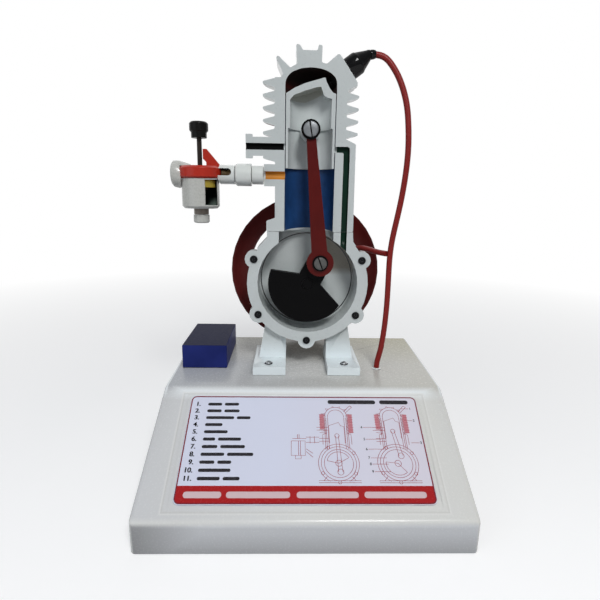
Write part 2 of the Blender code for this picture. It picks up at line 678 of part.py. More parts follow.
def crankcase(looks, engine):
    """The ring with its lugs, neck and two feet as one casting, and the cover with the bearing boss."""
    body = bar_mesh("crankcase_body", CASE_RADIUS, (0, 0, 0), (0, CASE_DEPTH, 0), ROUND_SIDES)
    body = place("crankcase_body", body, engine, looks["white_casting"])
    flange = bar_mesh("case_flange", FLANGE_RADIUS, (0, 0, 0), (0, FLANGE_THICKNESS, 0), ROUND_SIDES)
    join(body, place("case_flange", flange, engine))
    for number, (x, z) in enumerate(lug_places(), 1):
        name = f"case_lug_{number}"
        lug = bar_mesh(name, LUG_RADIUS, (x, 0, z), (x, FLANGE_THICKNESS, z), SMALL_SIDES)
        join(body, place(name, lug, engine))
    left, right = (
        (x + share[0] * LUG_RADIUS, z + share[1] * LUG_RADIUS)
        for (x, z), share in zip((lug_places()[4], lug_places()[2]), NECK_SHOULDER_shares)
    )
    neck = [
        (-NECK_LEFT_OUTER, JOINT_Z), (-NECK_LEFT_OUTER, JOINT_Z - LUG_RADIUS * NECK_LIP_share), left, (0, 0),
        right, (NECK_RIGHT_OUTER + BURY / 2, JOINT_Z - LUG_RADIUS), (NECK_RIGHT_OUTER, JOINT_Z),
    ]
    join(body, place("case_neck", plate_mesh("case_neck", [neck], 0, CASE_DEPTH), engine))
    under = GAP - CRANK_RISE
    for side, label in ((-1, "left"), (1, "right")):
        web = [
            (side * FOOT_INNER, under), (side * FOOT_WEB_OUTER, under),
            (side * FOOT_WEB_TOP_OUTER, -FOOT_WEB_TOP_DROP), (side * FOOT_INNER, -FOOT_WEB_TOP_DROP),
        ]
        name = f"foot_web_{label}"
        join(body, place(name, plate_mesh(name, [web], FLANGE_THICKNESS - BURY, CASE_DEPTH), engine))
        edges = sorted((side * FOOT_INNER, side * FOOT_OUTER))
        low, high = (edges[0], -FOOT_FRONT, under), (edges[1], FOOT_BACK, under + FOOT_THICKNESS)
        join(body, place(f"foot_{label}", box_mesh(f"foot_{label}", low, high), engine))
    chamber = bar_mesh("chamber", CHAMBER_RADIUS, (0, -OVERRUN, 0), (0, CASE_DEPTH + OVERRUN, 0), ROUND_SIDES)
    neck_depth = CASE_DEPTH - NECK_WALL
    hollow = box_mesh("neck_hollow", (-NECK_LEFT, -OVERRUN, 0), (NECK_RIGHT, neck_depth, CYLINDER_Z))
    passage = box_mesh(
        "case_passage", (TRANSFER_X, -OVERRUN, CHAMBER_RADIUS / 2),
        (TRANSFER_X + TRANSFER_WIDTH, TRANSFER_DEPTH, CYLINDER_Z),
    )
    for name, mesh in (("chamber", chamber), ("neck_hollow", hollow), ("case_passage", passage)):
        cut(body, place(name, mesh, engine))
    reach = FLANGE_RADIUS + OVERRUN
    above_joint = box_mesh("above_joint", (-reach, -OVERRUN, JOINT_Z), (reach, CASE_END_Y + OVERRUN, reach))
    above_joint = place("above_joint", above_joint, engine)
    cut(body, above_joint)
    for number, (x, z) in enumerate(lug_places(), 1):
        name = f"crankcase_screw_{number}"
        hole = bar_mesh(
            f"{name}_hole", CASE_SCREW_SHANK_RADIUS + GAP, (x, -OVERRUN, z), (x, CASE_SCREW_LENGTH + GAP, z),
            SCREW_SIDES,
        )
        cut(body, place(f"{name}_hole", hole, engine))
        profile = [
            (0, WASHER_THICKNESS + GAP), (CASE_SCREW_RADIUS, GAP + WASHER_THICKNESS / 2),
            (CASE_SCREW_RADIUS, GAP), (CASE_SCREW_SHANK_RADIUS, GAP),
            (CASE_SCREW_SHANK_RADIUS, -CASE_SCREW_LENGTH), (0, -CASE_SCREW_LENGTH),
        ]
        screw = turned(name, profile, engine, looks["black"], "y", (x, 0, z), SCREW_SIDES)
        screw.rotation_euler[0] *= -1
    for number, (x, y) in enumerate(foot_screw_places(), 1):
        name = f"foot_screw_{number}"
        hole = bar_mesh(
            f"{name}_hole", FOOT_SCREW_SHANK_RADIUS + GAP, (x, y, under - OVERRUN),
            (x, y, under + FOOT_THICKNESS + OVERRUN), SCREW_SIDES,
        )
        cut(body, place(f"{name}_hole", hole, engine))
        seat = under + FOOT_THICKNESS + GAP
        dome = [
            (FOOT_SCREW_RADIUS * math.sin(t), seat + FOOT_SCREW_DOME * math.cos(t))
            for t in (math.pi / 6 * step for step in range(4))
        ]
        profile = dome + [
            (FOOT_SCREW_SHANK_RADIUS, seat), (FOOT_SCREW_SHANK_RADIUS, seat - FOOT_SCREW_LENGTH),
            (0, seat - FOOT_SCREW_LENGTH),
        ]
        turned(name, profile, engine, looks["steel"], location=(x, y, 0), sides=SCREW_SIDES)
    use_manifold(body)
    start = CASE_DEPTH + GAP
    cover = bar_mesh("crankcase_cover", CASE_RADIUS, (0, start, 0), (0, CASE_END_Y, 0), ROUND_SIDES)
    cover = place("crankcase_cover", cover, engine, looks["white_casting"])
    boss = bar_mesh(
        "bearing_boss", BOSS_RADIUS, (0, CASE_END_Y - BURY, 0), (0, BOSS_END_Y, 0), MEDIUM_SIDES,
        BOSS_RADIUS - COVER_THICKNESS / 2,
    )
    join(cover, place("bearing_boss", boss, engine))
    bush = SHAFT_RADIUS + RUNNING + BUSH_WALL
    ends = ((0, start - OVERRUN, 0), (0, BOSS_END_Y + OVERRUN, 0))
    cut(cover, place("boss_hole", bar_mesh("boss_hole", bush + GAP, *ends, MEDIUM_SIDES), engine), above_joint)
    tube(
        "main_bearing_bush", bush, SHAFT_RADIUS + RUNNING, start, BOSS_END_Y, engine, looks["brass"], "y",
        sides=MEDIUM_SIDES,
    )


def fin_profile():
    """(radius, height) down the barrel's outer side, with the fins and the lower flange."""
    points = [(0, BARREL_TOP_Z), (BARREL_RADIUS, BARREL_TOP_Z)]
    for number in reversed(range(FIN_COUNT)):
        middle = FIN_FIRST_Z + number * FIN_PITCH
        points += [
            (FIN_ROOT_RADIUS, middle + FIN_ROOT_HALF), (FIN_TIP_RADIUS, middle + FIN_TIP_HALF),
            (FIN_TIP_RADIUS, middle - FIN_TIP_HALF), (FIN_ROOT_RADIUS, middle - FIN_ROOT_HALF),
        ]
    flange_top = CYLINDER_Z + LOWER_FLANGE_HEIGHT
    return points + [
        (BARREL_RADIUS, FIN_FIRST_Z - FIN_ROOT_HALF - BURY),
        (BARREL_RADIUS, flange_top + LOWER_FLANGE_CHAMFER),
        (LOWER_FLANGE_RADIUS, flange_top), (LOWER_FLANGE_RADIUS, CYLINDER_Z), (0, CYLINDER_Z),
    ]


def dome_profile(radius, foot_z):
    """(radius, height) down the combustion dome, to just above its foot."""
    turns = (math.pi / 12 * step for step in range(6))
    return [(radius * math.sin(t), foot_z + DOME_RISE * math.cos(t) ** DOME_POWER) for t in turns]


def head_point(share):
    return share[0] * FIN_TIP_RADIUS, SPRING_Z + share[1] * HEAD_HEIGHT


def plug_frame(engine):
    """An empty on the sloping seat, with Z out along the spark plug."""
    top, foot = Vector(head_point(SEAT_TOP_share)), Vector(head_point(SEAT_FOOT_share))
    middle, along = (top + foot) / 2, (top - foot).normalized()
    lean = math.atan2(along.y, -along.x)
    return empty("plug_seat", engine, (middle.x, PLUG_Y, middle.y), (0, lean, 0))


def cylinder(looks, engine, plug):
    """The finned half barrel with its head, stubs and passages cut into the section."""
    block = turned("cylinder_block", fin_profile(), engine, looks["white_casting"], sides=ROUND_SIDES)
    head = [head_point(share) for share in HEAD_OUTLINE_shares]
    head = place("head", plate_mesh("head", [head], -HEAD_DEPTH, HEAD_DEPTH), engine)
    above = SPRING_Z + 2 * HEAD_HEIGHT
    round_back = bar_mesh("head_round", FIN_TIP_RADIUS, (0, 0, CYLINDER_Z), (0, 0, above), ROUND_SIDES)
    boolean(head, place("head_round", round_back, engine), "INTERSECT")
    side = [
        (0, CYLINDER_Z), (NECK_RIGHT_OUTER, CYLINDER_Z),
        (NECK_RIGHT_OUTER - BURY / 2, TRANSFER_BLOCK_TOP_Z - TRANSFER_BLOCK_CHAMFER),
        (FIN_ROOT_RADIUS, TRANSFER_BLOCK_TOP_Z), (0, TRANSFER_BLOCK_TOP_Z),
    ]
    side = plate_mesh("transfer_block", [side], -TRANSFER_BLOCK_DEPTH, TRANSFER_BLOCK_DEPTH)
    inner = BORE_RADIUS + BURY
    exhaust = bar_mesh(
        "exhaust_stub", EXHAUST_RADIUS, (-EXHAUST_END_X, 0, EXHAUST_Z), (-inner, 0, EXHAUST_Z), MEDIUM_SIDES,
    )
    exhaust_flange = bar_mesh(
        "exhaust_flange", EXHAUST_FLANGE_RADIUS, (-EXHAUST_END_X, 0, EXHAUST_Z),
        (EXHAUST_FLANGE_THICKNESS - EXHAUST_END_X, 0, EXHAUST_Z), MEDIUM_SIDES,
    )
    inlet = bar_mesh(
        "inlet_stub", INLET_RADIUS, (-INLET_END_X, 0, INLET_Z), (-inner, 0, INLET_Z), MEDIUM_SIDES,
    )
    join(block, head)
    for name, mesh in (
        ("transfer_block", side), ("exhaust_stub", exhaust), ("exhaust_flange", exhaust_flange),
        ("inlet_stub", inlet),
    ):
        join(block, place(name, mesh, engine))
    profile = dome_profile(BORE_RADIUS, SPRING_Z)
    profile += [(BORE_RADIUS, SPRING_Z), (BORE_RADIUS, CYLINDER_Z - OVERRUN), (0, CYLINDER_Z - OVERRUN)]
    bore = turned("bore", profile, engine, sides=ROUND_SIDES)
    outside = -EXHAUST_END_X - OVERRUN
    exhaust_port = bar_mesh(
        "exhaust_port", EXHAUST_PORT_RADIUS, (outside, 0, EXHAUST_Z), (0, 0, EXHAUST_Z), SMALL_SIDES,
    )
    inlet_port = bar_mesh(
        "inlet_port", INLET_PORT_RADIUS, (outside, 0, INLET_Z), (0, 0, INLET_Z), SMALL_SIDES,
    )
    right = TRANSFER_X + TRANSFER_WIDTH
    low = TRANSFER_TOP_Z - TRANSFER_PORT_HEIGHT
    turn = TRANSFER_WIDTH / 2
    corner = arc((right - turn, TRANSFER_TOP_Z - turn), turn, 0, math.pi / 2, 4)
    passage = [(0, TRANSFER_TOP_Z), (0, low), (TRANSFER_X, low), (TRANSFER_X, CYLINDER_Z - OVERRUN),
               (right, CYLINDER_Z - OVERRUN)] + corner
    passage = plate_mesh("transfer_passage", [passage], -OVERRUN, TRANSFER_DEPTH)
    plug_hole = bar_mesh(
        "plug_hole", PLUG_THREAD_RADIUS + GAP, (0, 0, OVERRUN), (0, 0, -BORE_RADIUS), MEDIUM_SIDES,
    )
    cut(block, bore)
    for name, mesh, parent in (
        ("exhaust_port", exhaust_port, engine), ("inlet_port", inlet_port, engine),
        ("transfer_passage", passage, engine), ("plug_hole", plug_hole, plug),
    ):
        cut(block, place(name, mesh, parent))
    reach = EXHAUST_END_X + HEAD_HEIGHT
    side, _ = head_point(SEAT_CORNER_share)
    trim = box_mesh("seat_trim", (side, -reach, SPRING_Z - FIN_ROOT_HALF), (reach, reach, above))
    cut(block, place("seat_trim", trim, engine))
    half = box_mesh("front_half", (-reach, -reach, 0), (reach, 0, above))
    cut(block, place("front_half", half, engine))
    use_manifold(block)


def spark_plug(looks, plug):
    inside = BORE_RADIUS - BARREL_RADIUS - PLUG_REACH
    seat = PLUG_TIP_RADIUS + GAP
    profile = [
        (0, PLUG_NECK_LENGTH), (PLUG_NECK_RADIUS, PLUG_NECK_LENGTH), (PLUG_NECK_RADIUS, 0),
        (PLUG_THREAD_RADIUS, 0), (PLUG_THREAD_RADIUS, inside), (PLUG_TIP_RADIUS, inside - seat),
        (PLUG_TIP_RADIUS, inside - 2 * seat), (0, inside - 2 * seat),
    ]
    turned("spark_plug", profile, plug, looks["steel"], sides=SMALL_SIDES)
    bore = PLUG_NECK_RADIUS + GAP
    profile = [
        *arc((0, BOOT_LENGTH - BOOT_TIP_RADIUS), BOOT_TIP_RADIUS, math.pi / 2, 0, 3),
        (BOOT_SHOULDER_RADIUS, BOOT_LENGTH * BOOT_SHOULDER_share),
        (BOOT_RADIUS, BOOT_LENGTH * BOOT_COLLAR_share), (BOOT_RADIUS, GAP), (bore, GAP),
        (bore, PLUG_NECK_LENGTH + GAP), (0, PLUG_NECK_LENGTH + GAP),
    ]
    turned("spark_plug_boot", profile, plug, looks["black"], sides=SMALL_SIDES)


def rod_outline():
    """The rod's outline from above its small end round, with the wrist at the origin."""
    top = math.asin(ROD_TOP_HALF_WIDTH / SMALL_END_RADIUS)
    foot = math.asin(ROD_FOOT_HALF_WIDTH / BIG_END_RADIUS)
    up, down = math.pi / 2, -math.pi / 2
    small = arc((0, 0), SMALL_END_RADIUS, down + top, up * 3 - top, 16)
    big = arc((0, -ROD_LENGTH), BIG_END_RADIUS, up + foot, up * 5 - foot, 20)
    return small + big


def slot_cutter(name, radius, face_y, parent):
    """A screwdriver slot, upright, in a head whose front face is at face_y."""
    low = (-SLOT_WIDTH / 2, face_y - OVERRUN, -radius - OVERRUN)
    return place(name, box_mesh(name, low, (SLOT_WIDTH / 2, face_y + SLOT_DEPTH, radius + OVERRUN)), parent)


def piston(looks, engine):
    """The half piston with its deflector crown, on an empty at the wrist pin."""
    slide = empty("piston_slide", engine, (0, 0, WRIST_Z))
    edge, rise = EDGE_RISE, DEFLECTOR_RISE
    crown_foot = SPRING_Z - WRIST_Z - PISTON_LIFT - CROWN_SPACE
    profile = dome_profile(PISTON_RADIUS, crown_foot)
    profile += [(PISTON_RADIUS, crown_foot), (PISTON_RADIUS, -SKIRT_DROP), (0, -SKIRT_DROP)]
    body = turned("piston", profile, slide, looks["white_casting"], sides=ROUND_SIDES)
    reach = PISTON_RADIUS + OVERRUN
    crown = [(x * PISTON_RADIUS, edge + z * rise) for x, z in CROWN_shares]
    over = [(reach, edge), (reach, edge + 3 * rise), (-reach, edge + 3 * rise), (-reach, edge)]
    cut(body, place("over_crown", plate_mesh("over_crown", [crown + over], -reach, reach), slide))
    inner = PISTON_RADIUS - PISTON_HEAD_WALL
    roof = [(x * inner, edge + z * rise) for x, z in HOLLOW_shares]
    hollow = plate_mesh("hollow", [roof + [(inner, 0), (-inner, 0)]], -reach, reach)
    hollow = place("hollow", hollow, slide)
    liner = bar_mesh("hollow_round", inner, (0, 0, -SKIRT_DROP), (0, 0, edge + 2 * rise), MEDIUM_SIDES)
    boolean(hollow, place("hollow_round", liner, slide), "INTERSECT")
    skirt = bar_mesh(
        "skirt_hollow", PISTON_RADIUS - PISTON_SKIRT_WALL, (0, 0, -SKIRT_DROP - OVERRUN), (0, 0, LEDGE_RISE),
        MEDIUM_SIDES,
    )
    cut(body, hollow, place("skirt_hollow", skirt, slide))
    boss_end = math.sqrt((PISTON_RADIUS - PISTON_SKIRT_WALL / 2) ** 2 - WRIST_BOSS_RADIUS**2)
    boss = bar_mesh("wrist_boss", WRIST_BOSS_RADIUS, (0, WRIST_BOSS_SPACE, 0), (0, boss_end, 0), MEDIUM_SIDES)
    join(body, place("wrist_boss", boss, slide))
    pin_end = PISTON_RADIUS - PISTON_HEAD_WALL
    hole = bar_mesh("wrist_hole", WRIST_PIN_RADIUS + GAP, (0, 0, 0), (0, pin_end, 0), MEDIUM_SIDES)
    cut(body, place("wrist_hole", hole, slide))
    half = box_mesh("piston_front", (-reach, -reach, -SKIRT_DROP - OVERRUN), (reach, 0, edge + 3 * rise))
    cut(body, place("piston_front", half, slide))
    use_manifold(body)

    front = ROD_FRONT_Y - GAP
    shank = WRIST_SCREW_SHANK_RADIUS
    profile = [
        (0, pin_end - GAP), (WRIST_PIN_RADIUS, pin_end - GAP), (WRIST_PIN_RADIUS, front),
        (shank + GAP, front), (shank + GAP, front + WRIST_SCREW_LENGTH), (0, front + WRIST_SCREW_LENGTH),
    ]
    turned("wrist_pin", profile, slide, looks["steel"], "y", sides=MEDIUM_SIDES)
    washer_front = front - GAP - WASHER_THICKNESS
    tube(
        "wrist_washer", WRIST_WASHER_RADIUS, shank + GAP, washer_front, front - GAP, slide, looks["black"],
        "y", sides=SMALL_SIDES,
    )
    seat = washer_front - GAP
    face = seat - SCREW_HEAD_HEIGHT
    profile = [
        (0, seat + WRIST_SCREW_LENGTH), (shank, seat + WRIST_SCREW_LENGTH), (shank, seat),
        (WRIST_SCREW_RADIUS, seat), (WRIST_SCREW_RADIUS, face), (0, face),
    ]
    screw = turned("wrist_screw", profile, slide, looks["steel"], "y", sides=MEDIUM_SIDES)
    cut(screw, slot_cutter("wrist_slot", WRIST_SCREW_RADIUS, face, slide))
    return slide


def connecting_rod(looks, slide):
    """The rod hangs from the wrist pin in front of the section. Its pin screw rides with it."""
    hinge = empty("rod_hinge", slide, rotation=(0, -ROD_TILT, 0))
    wrist = arc((0, 0), WRIST_PIN_RADIUS + GAP, 0, 2 * math.pi, MEDIUM_SIDES)[:-1]
    crank = arc((0, -ROD_LENGTH), CRANK_PIN_RADIUS + GAP, 0, 2 * math.pi, MEDIUM_SIDES)[:-1]
    mesh = plate_mesh("connecting_rod", [rod_outline(), wrist, crank], ROD_FRONT_Y, ROD_BACK_Y)
    place("connecting_rod", mesh, hinge, looks["dark_red"])
    foot = empty("big_end", hinge, (0, 0, -ROD_LENGTH))
    shank = WRIST_SCREW_SHANK_RADIUS
    front = ROD_FRONT_Y - GAP
    profile = [
        (0, ROD_BACK_Y), (CRANK_PIN_RADIUS, ROD_BACK_Y), (CRANK_PIN_RADIUS, front), (shank + GAP, front),
        (shank + GAP, ROD_BACK_Y - BURY), (0, ROD_BACK_Y - BURY),
    ]
    turned("big_end_sleeve", profile, foot, looks["brass"], "y", sides=SMALL_SIDES)
    washer_front = front - GAP - WASHER_THICKNESS
    tube(
        "crank_pin_washer", CRANK_WASHER_RADIUS, shank + GAP, washer_front, front - GAP, foot, looks["black"],
        "y", sides=SMALL_SIDES,
    )
    seat = washer_front - GAP
    face = seat - SCREW_HEAD_HEIGHT
    end = ROD_BACK_Y - BURY - GAP
    profile = [
        (0, end), (shank, end), (shank, seat), (CRANK_SCREW_RADIUS, seat), (CRANK_SCREW_RADIUS, face),
        (0, face),
    ]
    screw = turned("crank_pin_screw", profile, foot, looks["steel"], "y", sides=MEDIUM_SIDES)
    cut(screw, slot_cutter("crank_slot", CRANK_SCREW_RADIUS, face, foot))


def web_outline():
    """The counterweight's fan, with the crank pin straight up from the axis."""
    half = WEB_HALF_ANGLE
    return arc((0, 0), WEB_RADIUS, -math.pi / 2 - half, -math.pi / 2 + half, 24) + [(0, WEB_HEEL)]


def crank(looks, engine):
    """The shaft with its web, pin boss, cam and flywheel, on an empty at the crank's axis."""
    spin = empty("crank_spin", engine, rotation=(0, CRANK_ANGLE, 0))
    sleeve = SHAFT_RADIUS + GAP
    web_back = WEB_FRONT + WEB_THICKNESS
    web = plate_mesh("crank_web", [web_outline()], WEB_FRONT, web_back)
    web = place("crank_web", web, spin, looks["black"])
    side = PIN_BOSS_RADIUS
    arm = [(-side, THROW), (-side, -BURY), (side, -BURY), (side, THROW)]
    join(web, place("web_arm", plate_mesh("web_arm", [arm], WEB_FRONT, web_back), spin))
    pin_front = (0, ROD_BACK_Y + RUNNING, THROW)
    boss = bar_mesh("pin_boss", PIN_BOSS_RADIUS, pin_front, (0, web_back, THROW), MEDIUM_SIDES)
    join(web, place("pin_boss", boss, spin))
    hole = bar_mesh("web_hole", sleeve, (0, -OVERRUN, 0), (0, web_back + OVERRUN, 0), MEDIUM_SIDES)
    cut(web, place("web_hole", hole, spin))

    hub_start = CAM_START_Y + CAM_LENGTH + GAP
    hub_end = hub_start + HUB_LENGTH
    shaft_end = hub_end + 2 * GAP + WASHER_THICKNESS + FLY_NUT_LENGTH + BURY
    profile = [
        (0, shaft_end), (SHAFT_RADIUS, shaft_end), (SHAFT_RADIUS, CASE_DEPTH), (COLLAR_RADIUS, CASE_DEPTH),
        (COLLAR_RADIUS, web_back + GAP), (SHAFT_RADIUS, web_back + GAP), (SHAFT_RADIUS, WEB_FRONT),
        (0, WEB_FRONT),
    ]
    turned("crankshaft", profile, spin, looks["steel"], "y", sides=MEDIUM_SIDES)
    cam_end_y = CAM_START_Y + CAM_LENGTH
    cam = bar_mesh("contact_cam", CAM_RADIUS, (0, CAM_START_Y, 0), (0, cam_end_y, 0), MEDIUM_SIDES)
    cam = place("contact_cam", cam, spin, looks["steel"])
    lobe = bar_mesh(
        "cam_lobe", CAM_LOBE_RADIUS, (0, CAM_START_Y, CAM_LIFT), (0, cam_end_y, CAM_LIFT), SMALL_SIDES,
    )
    join(cam, place("cam_lobe", lobe, spin))
    hole = bar_mesh("cam_hole", sleeve, (0, 0, 0), (0, hub_end, 0), MEDIUM_SIDES)
    cut(cam, place("cam_hole", hole, spin))

    back = RIM_FRONT + RIM_WIDTH
    profile = [
        (RIM_RADIUS, back), (RIM_RADIUS, RIM_FRONT), (RIM_RADIUS - RIM_LIP, RIM_FRONT),
        (RIM_RADIUS - 2 * RIM_LIP, RIM_FRONT + RIM_DISH / 2),
        (RIM_INNER_RADIUS + RIM_LIP, RIM_FRONT + RIM_DISH),
        (RIM_INNER_RADIUS, RIM_FRONT + RIM_DISH / 2), (RIM_INNER_RADIUS, back),
    ]
    wheel = turned("flywheel", profile, spin, looks["maroon"], "y", sides=ROUND_SIDES, closed=True)
    hub = bar_mesh("wheel_hub", HUB_RADIUS, (0, hub_start, 0), (0, hub_end, 0), MEDIUM_SIDES)
    join(wheel, place("wheel_hub", hub, spin))
    middle = RIM_FRONT + RIM_DISH + SPOKE_THICKNESS / 2
    for number in range(SPOKE_COUNT):
        turn = 2 * math.pi * number / SPOKE_COUNT - CRANK_ANGLE
        low = (-SPOKE_WIDTH / 2, middle - SPOKE_THICKNESS / 2, SHAFT_RADIUS)
        high = (SPOKE_WIDTH / 2, middle + SPOKE_THICKNESS / 2, RIM_INNER_RADIUS + RIM_LIP)
        name = f"spoke_{number + 1}"
        join(wheel, place(name, box_mesh(name, low, high), spin, rotation=(0, turn, 0)))
    hole = bar_mesh("hub_hole", sleeve, (0, 0, 0), (0, hub_end + OVERRUN, 0), MEDIUM_SIDES)
    cut(wheel, place("hub_hole", hole, spin))
    washer_start = hub_end + GAP
    tube(
        "flywheel_washer", FLY_WASHER_RADIUS, sleeve, washer_start, washer_start + WASHER_THICKNESS, spin,
        looks["steel"], "y", sides=SMALL_SIDES,
    )
    nut_start = washer_start + WASHER_THICKNESS + GAP
    nut = bar_mesh("flywheel_nut", FLY_NUT_RADIUS, (0, nut_start, 0), (0, nut_start + FLY_NUT_LENGTH, 0), 6)
    nut = place("flywheel_nut", nut, spin, looks["steel"])
    hole = bar_mesh("nut_hole", sleeve, (0, hub_end, 0), (0, shaft_end + OVERRUN, 0), SMALL_SIDES)
    cut(nut, place("nut_hole", hole, spin))


def contact_breaker(looks, engine):
    """An insulating post on the cover, with a spring blade over the cam."""
    start = CASE_END_Y + GAP
    low = (CONTACT_X, start, -CONTACT_HEIGHT / 2)
    high = (CONTACT_X + CONTACT_WIDTH, start + CONTACT_LENGTH, CONTACT_HEIGHT / 2)
    place("contact_block", box_mesh("contact_block", low, high), engine, looks["black"])
    end = start + CONTACT_LENGTH
    blade_z = CAM_LIFT + CAM_LOBE_RADIUS + RUNNING
    low = (0, end - BLADE_WIDTH, blade_z)
    high = (CONTACT_X - GAP, end, blade_z + BLADE_THICKNESS)
    blade = place("contact_blade", box_mesh("contact_blade", low, high), engine, looks["brass"])
    tab = (CONTACT_X - GAP - 2 * BLADE_THICKNESS, end - BLADE_WIDTH, -CONTACT_HEIGHT / 2)
    tab = box_mesh("blade_tab", tab, (CONTACT_X - GAP, end, blade_z + BLADE_THICKNESS))
    join(blade, place("blade_tab", tab, engine))


